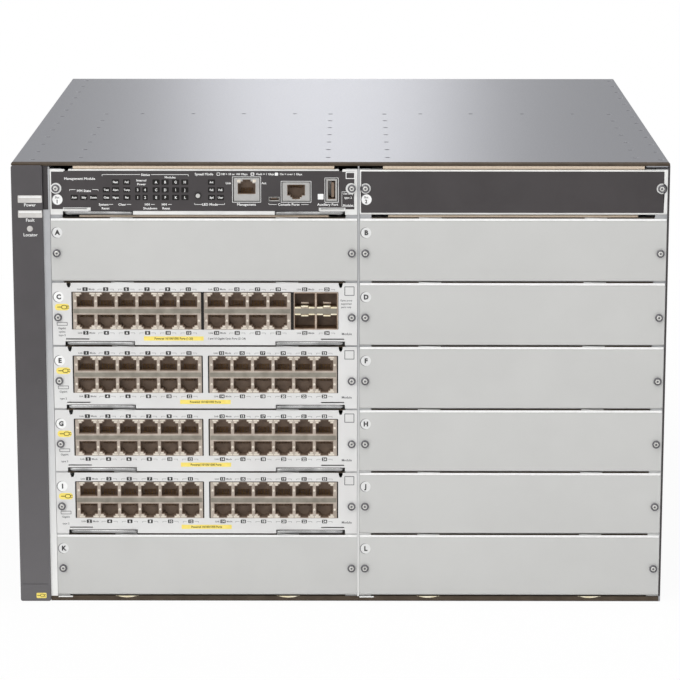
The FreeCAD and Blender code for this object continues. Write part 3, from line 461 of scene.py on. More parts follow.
def ring_faces(rings: int, count: int) -> Array:
    """Quads between neighbouring rings of a closed grid, ordered for anticlockwise loops.

    Args:
        rings: Number of rings.
        count: Points in a ring.

    Returns:
        Corners of each quad.
    """
    i, j = np.meshgrid(np.arange(rings - 1), np.arange(count), indexing="ij")
    k = (j + 1) % count
    quads = np.stack([i * count + k, i * count + j, (i + 1) * count + j, (i + 1) * count + k], axis=-1)
    return quads.reshape(-1, 4)


def cap_faces(loops: list[Array]) -> Array:
    """Triangles that fill the first loop and leave the others open."""
    lines = [[Vector((p[0], p[1], 0)) for p in loop] for loop in loops]
    return np.array(tessellate_polygon(lines), dtype=int).reshape(-1, 3)


def turned_right(points: Array, triangles: Array, sign: float) -> Array:
    """Triangles turned so that their flat area has the given sign.

    Args:
        points: Corner points.
        triangles: Corners of each triangle.
        sign: Sign that the areas get.

    Returns:
        The turned triangles, without empty ones.
    """
    a, b, c = points[triangles[:, 0]], points[triangles[:, 1]], points[triangles[:, 2]]
    area = (b[:, 0] - a[:, 0]) * (c[:, 1] - a[:, 1]) - (c[:, 0] - a[:, 0]) * (b[:, 1] - a[:, 1])
    keep = np.abs(area) > 1e-9
    flip = area * sign < 0
    out = triangles.copy()
    out[flip] = out[flip][:, ::-1]
    return out[keep]


def laid_out(flat: Array, depth: Array, facing: Facing, level: float) -> Array:
    """Points of a flat piece in the row frame: u and v across it, depth into it from the level.

    Args:
        flat: Points in u and v.
        depth: Depth of each point.
        facing: Which way it looks.
        level: Place of the shown side along its axis.

    Returns:
        Points in the row frame.
    """
    u, v, w = (np.array(d, float) for d in facing.value)
    start = -w * 0 + np.abs(w) * level
    return flat[:, :1] * u + flat[:, 1:2] * v + depth[:, None] * w + start


def edge_rings(radius: float, back_radius: float, thickness: float, steps: int) -> list[tuple[float, float]]:
    """Inset and depth of each ring of a rounded edge.

    At angle t from nought to a right angle a ring lies inset by radius times (1 - sin t), at a depth
    of radius times (1 - cos t); the hidden side mirrors this with its own radius.

    Args:
        radius: Radius of the round.
        back_radius: Round on the hidden side.
        thickness: Whole depth.
        steps: Steps in each round.

    Returns:
        Inset and depth of each ring.
    """
    turn = np.linspace(0, math.pi / 2, steps + 1)
    rings = [(radius * (1 - math.sin(t)), radius * (1 - math.cos(t))) for t in turn] if radius else [(0.0, 0.0)]
    if not back_radius:
        return rings + [(0.0, thickness)]
    return rings + [(back_radius * (1 - math.sin(t)), thickness - back_radius * (1 - math.cos(t)))
                    for t in turn[::-1]]


def plate(outer: Array, holes: list[Array], thickness: float, radius: float, facing: Facing, level: float,
          steps: int = 3, back_radius: float = 0.0, hole_radius: float | None = None) -> Block:
    """A flat plate with holes and rounded edges.

    Each loop is repeated as the rings of its edge, which form the walls, and both flat sides are
    filled between the loops.

    Args:
        outer: Outline in u and v.
        holes: Outlines of openings.
        thickness: Depth of the plate.
        radius: Round on the edges of the shown side.
        facing: Which way the shown side looks.
        level: Place of the shown side along its axis.
        steps: Rings in the round.
        back_radius: Round on the hidden side's edges.
        hole_radius: Round on the edges of the holes, where it differs.

    Returns:
        Points and faces of a closed solid.
    """
    loops = [outer if signed_area(outer) > 0 else outer[::-1]]
    loops += [hole if signed_area(hole) < 0 else hole[::-1] for hole in holes]
    outer_moves = edge_rings(radius, back_radius, thickness, steps)
    hole_moves = outer_moves if hole_radius is None else edge_rings(hole_radius, 0.0, thickness, steps)
    points, faces, fronts, backs, count = [], [], [], [], 0
    for number, loop in enumerate(loops):
        moves = hole_moves if number else outer_moves
        rings = [inset(loop, d) if d else loop for d, _ in moves]
        flat = np.concatenate(rings)
        depth = np.repeat([w for _, w in moves], len(loop))
        points.append(laid_out(flat, depth, facing, level))
        faces.append(ring_faces(len(moves), len(loop)) + count)
        fronts.append((rings[0], count + np.arange(len(loop))))
        backs.append((rings[-1], count + (len(moves) - 1) * len(loop) + np.arange(len(loop))))
        count += len(flat)
    for side, sign in ((fronts, 1.0), (backs, -1.0)):
        flat = np.concatenate([p for p, _ in side])
        index = np.concatenate([n for _, n in side])
        triangles = turned_right(flat, cap_faces([p for p, _ in side]), sign)
        faces.append(index[triangles])
    return np.concatenate(points), faces


def rounded_box(x0: float, x1: float, y0: float, y1: float, z0: float, z1: float, radius: float,
                steps: int = 2) -> Block:
    """A block with all its edges rounded by one radius."""
    loop = round_rectangle(x0, x1, z0, z1, radius, steps)
    return plate(loop, [], y1 - y0, radius * 0.9, Facing.FRONT, y0, steps, radius * 0.9)


def flat_patch(outer: Array, holes: list[Array], facing: Facing, level: float) -> Block:
    """A single flat sheet without thickness, such as print.

    Args:
        outer: Outer outline.
        holes: Outlines of openings.
        facing: Which way it looks.
        level: Place along its axis.

    Returns:
        Points and faces.
    """
    loops = [outer] + holes
    flat = np.concatenate(loops)
    triangles = turned_right(flat, cap_faces(loops), 1.0)
    return laid_out(flat, np.zeros(len(flat)), facing, level), [triangles]


def swept(profiles: Array, stations: Array) -> Block:
    """A closed profile in y and z carried along X, one profile for each station, both ends filled.

    Args:
        profiles: Array of stations by points by (y, z).
        stations: X of each profile.

    Returns:
        Points and faces of a closed solid, turned outwards by the sign of its volume.
    """
    count = profiles.shape[1]
    x = np.repeat(stations, count)[:, None]
    points = np.concatenate([x, profiles.reshape(-1, 2)], axis=1)
    last = (len(stations) - 1) * count
    faces = [ring_faces(len(stations), count), np.arange(count)[None, ::-1] + last, np.arange(count)[None, :]]
    return outward(points, faces)


def outward(points: Array, faces: list[Array]) -> Block:
    """Turn a closed solid's faces over if its signed volume is negative.

    Args:
        points: Corner points.
        faces: Blocks of faces.

    Returns:
        Points and faces.
    """
    volume = 0.0
    for block in faces:
        a = points[block[:, 0]]
        for k in range(1, block.shape[1] - 1):
            volume += float(np.sum(a * np.cross(points[block[:, k]], points[block[:, k + 1]])))
    return points, faces if volume > 0 else [block[:, ::-1] for block in faces]


def revolved(profile: Array, u: float, v: float, facing: Facing, level: float, steps: int = 32,
             waves: int = 0, swell: float = 0.0) -> Block:
    """A profile of (radius, depth) turned about an axis through (u, v), closed at its poles.

    A radius of nought is a pole. With waves, the radius is multiplied by
    1 + swell cos(waves t), which makes a knurled or lobed rim.

    Args:
        profile: Radius and depth of each ring.
        u: Axis across.
        v: Axis up.
        facing: Which way it looks.
        level: Place along its axis where the depth is nought.
        steps: Points around.
        waves: Lobes around the rim.
        swell: Height of the lobes as a share.

    Returns:
        Points and faces.
    """
    turn = np.arange(steps) * 2 * math.pi / steps
    rings = profile[(profile[:, 0] > 1e-6)]
    reach = rings[:, :1] * (1 + swell * np.cos(waves * turn))[None, :]
    flat = np.stack([u + reach * np.cos(turn), v + reach * np.sin(turn)], axis=-1).reshape(-1, 2)
    depth = np.repeat(rings[:, 1], steps)
    faces = [ring_faces(len(rings), steps)]
    j = np.arange(steps)
    k = (j + 1) % steps
    if profile[0, 0] <= 1e-6:
        faces.append(np.stack([np.full(steps, len(flat)), j, k], axis=1))
        flat = np.concatenate([flat, [[u, v]]])
        depth = np.append(depth, profile[0, 1])
    base = (len(rings) - 1) * steps
    if profile[-1, 0] <= 1e-6:
        faces.append(np.stack([np.full(steps, len(flat)), base + k, base + j], axis=1))
        flat = np.concatenate([flat, [[u, v]]])
        depth = np.append(depth, profile[-1, 1])
    return laid_out(flat, depth, facing, level), faces


class Shape:
    """Blocks of points and faces that become one mesh with one or more finishes."""

    def __init__(self) -> None:
        """Start empty."""
        self.points: list[Array] = []
        self.faces: list[list[int]] = []
        self.finish_of: list[int] = []
        self.smooth: list[bool] = []
        self.finishes: list[Finish] = []
        self.count = 0

    def add(self, block: Block, finish: Finish) -> None:
        """Take in one block with its finish: its quads are shaded smooth, its flat sides and poles flat.

        Args:
            block: Points and faces.
            finish: Finish it gets.
        """
        points, faces = block
        if finish not in self.finishes:
            self.finishes.append(finish)
        number = self.finishes.index(finish)
        for part in faces:
            self.faces += (part + self.count).tolist()
            self.finish_of += [number] * len(part)
            self.smooth += [part.shape[1] == 4] * len(part)
        self.points.append(points)
        self.count += len(points)

    def box(self, finish: Finish, *sizes: float) -> None:
        """Add a block with rounded edges; the sizes are those of rounded_box."""
        self.add(rounded_box(*sizes), finish)

    def mark(self, finish: Finish, level: float, outline: Array, *holes: Array) -> None:
        """Add a flat sheet, such as print, that is seen from the front."""
        self.add(flat_patch(outline, list(holes), Facing.FRONT, level), finish)

    def place(self, name: str, body: str, slot: str, stands_for: tuple[str, ...] = (),
              sharp: float = 38.0) -> bpy.types.Object:
        """Make the object, its quads smooth below an angle, and hang it on a body.

        Args:
            name: Name of the piece.
            body: Body of the frame that it moves with.
            slot: Material slot of the record; not used.
            stands_for: CAD nodes that it replaces.
            sharp: Angle in degrees from which an edge stays sharp.

        Returns:
            The object, with its place in its mesh.
        """
        mesh = bpy.data.meshes.new(name)
        mesh.from_pydata((np.concatenate(self.points) * MM).tolist(), [], self.faces)
        for finish in self.finishes:
            mesh.materials.append(finish.material())
        mesh.polygons.foreach_set("material_index", np.array(self.finish_of, dtype=np.int32))
        mesh.set_sharp_from_angle(angle=math.radians(sharp))
        mesh.polygons.foreach_set("use_smooth", np.array(self.smooth, dtype=bool))
        mesh.update()
        piece = bpy.data.objects.new(name, mesh)
        bpy.context.scene.collection.objects.link(piece)
        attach(piece, body)
        if stands_for:
            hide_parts(*stands_for)
        LOG.info("%s: %d faces on %s", name, len(self.faces), body)
        return piece


class Lettering:
    """Words and numbers cut as flat sheets from the built-in face."""

    shapes: dict[tuple[str, float], Block] = {}
    cap_height = 0.0

    @classmethod
    def outline(cls, word: str, weight: float = 0.012) -> Block:
        """Flat points and faces of a word one unit in size, centred across, standing on its baseline.

        Args:
            word: Letters to cut.
            weight: Boldness.

        Returns:
            Points and faces.
        """
        key = (word, weight)
        if key not in cls.shapes:
            curve = bpy.data.curves.new("word", "FONT")
            curve.body = word
            curve.align_x = "CENTER"
            curve.offset = weight
            curve.resolution_u = 2
            holder = bpy.data.objects.new("word", curve)
            mesh = bpy.data.meshes.new_from_object(holder)
            points = np.array([v.co[:2] for v in mesh.vertices], float).reshape(-1, 2)
            mesh.calc_loop_triangles()
            faces = np.array([t.vertices for t in mesh.loop_triangles], dtype=int).reshape(-1, 3)
            cls.shapes[key] = points, [turned_right(points, faces, 1.0)]
            bpy.data.objects.remove(holder)
            bpy.data.meshes.remove(mesh)
            bpy.data.curves.remove(curve)
        return cls.shapes[key]

    @classmethod
    def stamp(cls, shape: Shape, word: str, u: float, v: float, height: float, finish: Finish, level: float,
              align: float = 0.0, narrow: float = 1.0, weight: float = 0.012) -> None:
        """Add a word to a shape, read from the front.

        Args:
            shape: Shape that takes it.
            word: The letters.
            u: Place across.
            v: Middle height of the capitals.
            height: Height of the capitals.
            finish: Ink.
            level: Plane that it lies on.
            align: -1 starts at u, 0 is centred, 1 ends at u.
            narrow: Share of the face's own width.
            weight: Boldness.
        """
        if not cls.cap_height:
            cls.cap_height = float(cls.outline("H")[0][:, 1].max())
        points, faces = cls.outline(word, weight)
        scale = height / cls.cap_height
        flat = points * scale * np.array([narrow, 1.0])
        width = flat[:, 0].max() - flat[:, 0].min()
        flat = flat + np.array([u - align * width / 2, v - height / 2])
        shape.add((laid_out(flat, np.zeros(len(flat)), Facing.FRONT, level), faces), finish)


# ---------------------------------------------------------------- places

#: Row of the management bays, above the six card rows.
TOP_ROW = 6


@dataclass(frozen=True)
class SlotGrid:
    """Places of the card slots, started from the frame's own boxes."""

    left: float
    floor: float
    front: float
    top: float
    width: float = 208.25
    wall: float = 1.0
    pitch: float = 44.45
    rows: int = TOP_ROW
    gap: float = 0.25
    foot: float = 0.6
    gasket_lift: float = 1.4
    card_plate: float = 42.25
    management_plate: float = 31.1
    screw_inset: float = 4.1
    screw_height: float = 20.1
    lever_inset: float = 13.1
    lever_depth: float = 3.4

    @classmethod
    def from_frame(cls) -> "SlotGrid":
        """Read the left wall, lowest shelf, face plane and cover underside from the frame.

        Returns:
            The grid of slots.
        """
        wall, shelves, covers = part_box("left_bay_wall"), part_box("slot_shelves"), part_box("slot_covers")
        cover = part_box("top_cover")
        return cls(left=wall[1].x / MM, floor=shelves[0].z / MM + 1.2, front=covers[0].y / MM,
                   top=cover[1].z / MM - 1.2)

    def edge(self, column: int) -> float:
        """Left side of a column."""
        return self.left + column * (self.width + self.wall)

    def centre(self, column: int) -> float:
        """Middle of a column."""
        return self.edge(column) + self.width / 2

    def sides(self, column: int) -> tuple[tuple[float, int], tuple[float, int]]:
        """Both sides of a column with the direction into it."""
        return (self.edge(column), 1), (self.edge(column) + self.width, -1)

    def shelf(self, row: int) -> float:
        """Top of a shelf."""
        return self.floor + row * self.pitch

    def lift(self, row: int) -> float:
        """Extra height of the management plates above their shelf."""
        return self.gasket_lift if row == self.rows else 0.0

    def low(self, row: int) -> float:
        """Bottom of a front plate."""
        return self.shelf(row) + self.foot + self.lift(row)

    def high(self, row: int) -> float:
        """Top of a front plate."""
        return self.low(row) + (self.management_plate if row == self.rows else self.card_plate)


CARDS = {"c": 4, "e": 3, "g": 2, "i": 1}
SLOT_LETTERS = (("K", "I", "G", "E", "C", "A"), ("L", "J", "H", "F", "D", "B"))


# ---------------------------------------------------------------- chassis

#: Height in mm of the rolled edge that a front plate shows above its own top; on the blank covers it is white, a
#: painted highlight.
CREST = 1.1


def rolled_edge(shape: Shape, x0: float, x1: float, front: float, top: float, finish: Finish) -> None:
    """Slender rounded bead along the top of a front plate.

    Args:
        shape: Mesh under construction.
        x0: Left end.
        x1: Right end.
        front: Front plane of the plate.
        top: Top of the plate.
        finish: Finish of the bead.
    """
    shape.box(finish, x0, x1, front - 0.06, front + 0.34, top - 0.5, top + CREST, 0.17)


@dataclass
class TopCover:
    """Flat steel cover with pressed dimples over its welds, a front fold and lip painted dark as shade, and hold-down
    rails.
    """

    grid: SlotGrid
    sheet: float = 1.2
    lip: float = 0.3
    fold: float = 8.0
    fold_rise: float = 0.03
    hem_foot: float = 4.0
    edge_round: float = 0.5
    dimple: float = 1.5
    dimple_depth: float = 0.35
    left_row: float = -209.4
    right_row: float = 217.5
    long_rows: tuple[float, ...] = (-177.5, -8.5, 32.1, 201.0)
    cross_row: tuple[float, ...] = (-150.5, -112.1, -73.9, -35.4, 59.0, 97.1, 135.8, 173.7)

    def dimple_places(self) -> Array:
        """X and Y of the dimples, Y counted from the front plane.

        Returns:
            One X and Y a row.
        """
        outer = [(x, y) for x in (self.left_row, self.right_row) for y in np.linspace(19, 438, 13)]
        inner = [(x, y) for x in self.long_rows for y in np.linspace(28, 242, 7)]
        cross = [(x, 243.5) for x in self.cross_row]
        return np.array(outer + inner + cross)

    def build(self) -> None:
        """Plate with round openings, a bowl in each, the hem and the four rails."""
        low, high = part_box("top_cover")
        shape = Shape()
        x0, x1, y0, y1, z1 = (v / MM for v in (low.x, high.x, low.y, high.y, high.z))
        places = self.dimple_places() + np.array([0, y0])
        loops = [disc_loop(x, y, self.dimple, 14) for x, y in places]
        outline = round_rectangle(x0, x1, y0 + 3.0, y1, 1.0, 3)
        skin = plate(outline, loops, self.sheet - self.fold_rise, self.edge_round, Facing.UP, z1 - self.fold_rise, 3)
        shape.add(skin, COVER_STEEL)
        # The front fold is painted dark as shade.
        fold = round_rectangle(x0, x1, y0, y0 + self.fold, 1.0, 3)
        shape.add(plate(fold, [], self.sheet, 0.3, Facing.UP, z1, 3), PAINTED_EDGE_SHADE)
        wide, deep = self.dimple, self.dimple_depth
        bowl = np.array([[0.0, deep * 1.08], [wide * 0.45, deep], [wide * 0.9, deep * 0.4], [wide + 0.02, 0.5],
                         [wide + 0.3, 0.9]])
        for x, y in places:
            shape.add(revolved(np.concatenate([bowl, [[0.0, 1.1]]]), x, y, Facing.UP, z1, 14), DIMPLE_SHADE)
        lip_left, lip_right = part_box("outer_shell")[0].x / MM + 21.1, x1 - self.sheet
        # Lip under the cover's front edge, painted dark as shade.
        shape.box(PAINTED_EDGE_SHADE, lip_left, lip_right, y0, y0 + 1.0, z1 - self.sheet - self.lip, z1 - self.sheet + 0.2,
                  0.3)
        # Dark strip down the right wall's front edge: painted shade.
        shape.box(CHARCOAL_METAL, x1 - self.sheet, x1, y0 - self.lip * 0.5, y0 + 1.0, self.hem_foot,
                  z1 - self.sheet + 0.1, 0.12)
        for column in (0, 1):
            for edge, inward in self.grid.sides(column):
                x = edge + inward * 19.6
                shape.box(BARE_STEEL, x - 0.5, x + 0.5, y0 + 8.3, y0 + 243.2, z1 - self.sheet - 4.0,
                          z1 - self.sheet + 0.1, 0.2)
        shape.place("cover_skin", "chassis", "cover_steel", ("top_cover",))


@dataclass
class StatusBezel:
    """Moulded bezel with its lamp lenses, generic words and foot mark."""

    grid: SlotGrid
    corner: float = 0.4
    bars: tuple[tuple[float, float], ...] = ((280.8, 4.9), (270.6, 4.8))
    lamp_across: float = 12.1
    lamp_height: float = 262.9
    lamp_radius: float = 2.0
    word_height: float = 2.1
    words: tuple[tuple[str, float], ...] = (("Power", 279.3), ("Fault", 268.9), ("Locator", 258.8))

    def build(self) -> None:
        """Bezel block, lenses and print."""
        self._block()
        self._lenses()
        self._print()

    def _block(self) -> None:
        """Rounded plate with windows for the lenses and a fine groove above the foot label."""
        low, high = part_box("front_bezel")
        x0, x1, y0, y1, z0, z1 = (v / MM for v in (low.x, high.x, low.y, high.y, low.z, high.z))
        shape = Shape()
        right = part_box("status_lenses")[1].x / MM - 0.1
        windows = [round_rectangle(right - 15.6, right, z + 0.1, z + h - 0.1, 0.4, 2)
                   for z, h in self.bars]
        windows.append(disc_loop(x0 + self.lamp_across, self.lamp_height, self.lamp_radius + 0.12, 32))
        windows.append(round_rectangle(x0 + 2.0, x1 - 2.0, 12.2, 12.55, 0.15, 2))
        outline = round_rectangle(x0, x1, z0, z1, 1.4, 4)
        shape.add(plate(outline, windows, y1 - y0, self.corner, Facing.FRONT, y0, 5, hole_radius=0.1),
                  CHARCOAL_PLASTIC)
        shape.box(CHARCOAL_PLASTIC, x0 + 1.5, x1 - 1.5, y0 + 0.5, y0 + 2.0, 11.5, 13.2, 0.2)
        shape.place("bezel_cap", "chassis", "charcoal_plastic", ("front_bezel",))
        shade = Shape()
        shade.box(CHARCOAL_METAL, x1 + 0.15, self.grid.left - 0.15, self.grid.front + 1.1, self.grid.front + 1.5,
                  275.8, self.grid.top - 0.2, 0.1)
        shade.place("recess_shade", "chassis", "charcoal_plastic")

    def _lenses(self) -> None:
        """Two crowned bars and a domed round lens, each with a seat behind the bezel's wall; the bars carry a painted
        highlight along their tops.
        """
        low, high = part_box("status_lenses")
        x1, y0 = high.x / MM, low.y / MM + 0.3
        shape = Shape()
        for z, height in self.bars:
            shape.box(CLEAR_LENS, x1 - 15.6, x1 - 0.2, y0, y0 + 3.2, z + 0.2, z + height - 0.2, 0.3)
            cap = round_rectangle(x1 - 15.9, x1 + 0.5, z - 0.1, z + height + 0.1, 0.5, 3)
            shape.add(plate(cap, [], 0.25, 0.24, Facing.FRONT, y0 - 0.27, 4), CLEAR_LENS)
            # The white strip along the top of each bar is a painted highlight.
            glint = round_rectangle(x1 - 15.3, x1 - 0.1, z + height - 1.5, z + height - 0.5, 0.4, 3)
            shape.add(plate(glint, [], 0.1, 0.05, Facing.FRONT, y0 - 0.3, 2), WHITE_INK_AND_HIGHLIGHT)
        bezel_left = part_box("front_bezel")[0].x / MM
        turn = np.linspace(0, math.pi / 2, 7)
        dome = np.stack([self.lamp_radius * np.sin(turn), 0.3 * (1 - np.cos(turn))], axis=1)
        profile = np.concatenate([dome, [[self.lamp_radius, 3.0], [0.0, 3.0]]])
        shape.add(revolved(profile, bezel_left + self.lamp_across, self.lamp_height, Facing.FRONT, y0 - 0.3, 32),
                  CLEAR_LENS)
        shape.place("lamp_lenses", "chassis", "clear_lens", ("status_lenses",))

    def _print(self) -> None:
        """White words under the lenses and the round-ended foot mark."""
        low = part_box("front_bezel")[0]
        x0, level = low.x / MM, low.y / MM - PRINT_GAP
        shape = Shape()
        for word, z in self.words:
            Lettering.stamp(shape, word, x0 + 12.4, z, self.word_height, WHITE_INK_AND_HIGHLIGHT, level)
        mark = round_rectangle(x0 + 11.0, x0 + 18.0, 2.2, 6.0, 0.7, 3)
        shape.mark(INK_YELLOW, level, mark)
        arrow_sign(shape, x0 + 14.5, 4.1, 0.75, level - 0.02, INK_OLIVE)
        shape.place("bezel_print", "chassis", "charcoal_plastic")


@dataclass
class FoldedPlate:
    """Front plate with rounded folds and two flanges that end beside the mounting rails."""

    left: float
    right: float
    low: float
    high: float
    front: float
    flange: float = 8.0
    sheet: float = 1.0
    bend: float = 1.5
    rail_room: float = 8.45

    def profile(self, reach: float) -> Array:
        """Closed section (y, z): two flats joined by quarter-circle bends, cut off at a reach.

        The outer bends have the bend radius and the inner ones that less the sheet.

        Args:
            reach: Length of the flanges.

        Returns:
            The section's points.
        """
        r, t = self.bend, self.sheet
        outer = np.concatenate([
            [[self.flange, self.low]], arc(r, self.low + r, r, 270, 180, 6), arc(r, self.high - r, r, 180, 90, 6),
            [[self.flange, self.high]]])
        inner = np.concatenate([
            [[self.flange, self.high - t]], arc(r, self.high - r, r - t, 90, 180, 4),
            arc(r, self.low + r, r - t, 180, 270, 4), [[self.flange, self.low + t]]])
        section = np.concatenate([outer, inner])
        section[:, 0] = np.minimum(section[:, 0], reach) + self.front
        return section

    def block(self) -> Block:
        """Carry the section along X, without flanges at the two ends.

        Returns:
            Points and faces.
        """
        short, full = self.profile(self.sheet * 1.02), self.profile(self.flange)
        stations = np.array([self.left, self.left + self.rail_room, self.left + self.rail_room,
                             self.right - self.rail_room, self.right - self.rail_room, self.right])
        return swept(np.stack([short, short, full, full, short, short]), stations)


@dataclass
class SlotCovers:
    """Blank covers over the empty slots, with slot letters beside their screws."""

    grid: SlotGrid

    def build(self) -> None:
        """All the covers of full height as one piece, and the dark one of the spare management bay."""
        shape, ink = Shape(), Shape()
        level = self.grid.front - PRINT_GAP
        for row in range(self.grid.rows):
            for column in (0, 1):
                if column == 0 and row in CARDS.values():
                    continue
                cover = self._cover(column, row)
                shape.add(cover.block(), BLANK_GREY)
                # The rolled edge on the blank covers is painted white as a highlight.
                rolled_edge(shape, cover.left + 0.2, cover.right - 0.2, cover.front, cover.high, WHITE_INK_AND_HIGHLIGHT)
                letter_disc(ink, self.grid.edge(column) + 4.4, self.grid.shelf(row) + 34.2, level,
                            SLOT_LETTERS[column][row], disc_ink=INK_PALE)
        shape.place("blank_covers", "chassis", "blank_grey", ("slot_covers",))
        ink.place("cover_letters", "chassis", "blank_grey")
        dark = Shape()
        dark.add(self._cover(1, self.grid.rows).block(), PLATE_SILVER)
        left, right = self.grid.edge(1) + self.grid.gap, self.grid.edge(1) + self.grid.width - self.grid.gap
        low, high = self.grid.low(TOP_ROW), self.grid.high(TOP_ROW)
        sheet = round_rectangle(left + 0.9, right - 2.4, low + 1.5, high - 1.3, 0.4, 2)
        height = self.grid.shelf(TOP_ROW) + self.grid.screw_height
        holes = [disc_loop(edge + inward * self.grid.screw_inset, height, 3.6, 24)
                 for edge, inward in self.grid.sides(1)]
        dark.add(plate(sheet, holes, 0.15, 0.06, Facing.FRONT, self.grid.front - 0.15, 2), CHARCOAL_METAL)
        dark.place("spare_bay_cover", "chassis", "charcoal_metal", ("mm_slot_cover",))
        mark = Shape()
        letter_disc(mark, self.grid.edge(1) + 4.6, self.grid.shelf(TOP_ROW) + 12.6, self.grid.front - 0.2, "2", "Slot")
        mark.place("spare_bay_letter", "chassis", "charcoal_metal")

    def _cover(self, column: int, row: int) -> FoldedPlate:
        """The folded plate of one slot.

        Args:
            column: Column, 0 or 1.
            row: Row, counted from the floor.

        Returns:
            The cover's folded plate.
        """
        left = self.grid.edge(column)
        return FoldedPlate(left + self.grid.gap, left + self.grid.width - self.grid.gap, self.grid.low(row),
                           self.grid.high(row), self.grid.front)


def letter_disc(shape: Shape, x: float, z: float, level: float, letter: str, heading: str = "",
                disc_ink: Finish = WHITE_INK_AND_HIGHLIGHT) -> None:
    """Slot mark: a pale disc, a grey crescent of painted shadow on its left and the letter, or a heading over it.

    The crescent is the outline between two circles, the inner one shifted to the right.

    Args:
        shape: Mesh that takes it.
        x: Middle across.
        z: Middle height.
        level: Plane of the disc.
        letter: Letter on the mark.
        heading: Small word above the letter.
        disc_ink: Ink of the disc.
    """
    shape.mark(disc_ink, level, disc_loop(x, z, 3.7, 32))
    outer = arc(x, z, 3.75, 80, 280, 20)
    inner = arc(x + 0.45, z, 3.6, 280, 80, 20)
    shape.mark(INK_GREY, level - 0.02, np.concatenate([outer, inner]))
    if heading:
        Lettering.stamp(shape, heading, x, z + 1.5, 1.3, INK_DARK, level - 0.03, weight=0.02)
        Lettering.stamp(shape, letter, x, z - 1.3, 2.4, INK_DARK, level - 0.03, weight=0.035)
    else:
        Lettering.stamp(shape, letter, x + 0.3, z + 0.1, 3.1, INK_DARK, level - 0.03, weight=0.05)


def arrow_sign(shape: Shape, x: float, z: float, size: float, level: float, ink: Finish) -> None:
    """Plain arrow sign: a shaft that ends in a ring with two prongs, drawn about its middle.

    Args:
        shape: Mesh that takes it.
        x: Middle across.
        z: Middle height.
        size: Scale of the sign.
        level: Plane of the print.
        ink: Ink it is printed in.
    """
    ring = round_rectangle(x - 1.2 * size, x + 2.8 * size, z - 1.5 * size, z + 1.5 * size, 1.4 * size, 5)
    hole = round_rectangle(x - 0.7 * size, x + 2.3 * size, z - size, z + size, 0.9 * size, 5)
    shape.mark(ink, level, ring, hole)
    for x0, x1, z0, z1 in ((-4.0, -1.0, -0.3, 0.3), (2.6, 4.0, 0.45, 0.95), (2.6, 4.0, -0.95, -0.45)):
        bar = round_rectangle(x + x0 * size, x + x1 * size, z + z0 * size, z + z1 * size, 0.1, 2)
        shape.mark(ink, level, bar)


@dataclass
class CaptiveScrews:
    """Captive panel screws: knurled rim painted darker as shade, dished head with a six-lobed recess filled with
    painted shade, and shank.
    """

    grid: SlotGrid
    radius: float = 2.7
    height: float = 1.9

    def _screw(self, shape: Shape, x: float, z: float) -> None:
        """One screw from three turned profiles.

        Args:
            shape: Mesh that takes it.
            x: Middle across.
            z: Middle height.
        """
        front = self.grid.front
        rim = np.array([[1.95, 0.35], [2.05, 0.05], [2.3, 0.0], [2.6, 0.15], [self.radius, 0.5], [self.radius, 1.5],
                        [2.5, self.height]])
        rim = np.concatenate([[[0.0, 0.75], [1.9, 0.75]], rim, [[0.0, self.height]]])
        # The rim is painted darker than the head as shade.
        shape.add(revolved(rim, x, z, Facing.FRONT, front - self.height, 48, 24, 0.018), SCREW_RIM_SHADE)
        head = np.array([[0.0, 1.0], [0.75, 0.95], [0.8, 0.1], [1.2, 0.02], [1.6, 0.2], [1.75, 0.6], [1.75, 1.1],
                         [0.0, 1.2]])
        shape.add(revolved(head, x, z, Facing.FRONT, front - self.height + 0.05, 36, 6, 0.05), SCREW_STEEL)
        # Dark disc in the recess: painted shade.
        recess = np.array([[0.0, 0.85], [0.78, 0.85], [0.78, 0.95], [0.0, 0.95]])
        shape.add(revolved(recess, x, z, Facing.FRONT, front - self.height + 0.02, 18), PAINTED_SHADE_AND_BLACK_INK)
        shank = np.array([[0.0, -0.4], [1.5, -0.4], [1.5, 3.4], [1.2, 3.7], [0.0, 3.7]])
        shape.add(revolved(shank, x, z, Facing.FRONT, front, 16), SCREW_STEEL)

    def build(self) -> None:
        """Screws of the covers, of the cards and of the management module."""
        groups = [("cover_fasteners", "chassis", "cover_screws",
                   [(c, r) for r in range(7) for c in (0, 1) if c == 1 or r in (0, 5)])]
        groups.append(("mm_fasteners", "management_module", "mm_screws", [(0, 6)]))
        groups += [(f"{card}_fasteners", f"module_{card}", f"{card}_screws", [(0, row)]) for card, row in CARDS.items()]
        for name, body, node, slots in groups:
            shape = Shape()
            for column, row in slots:
                for edge, inward in self.grid.sides(column):
                    self._screw(shape, edge + inward * self.grid.screw_inset,
                                self.grid.shelf(row) + self.grid.screw_height)
            shape.place(name, body, "screw_steel", (node,))


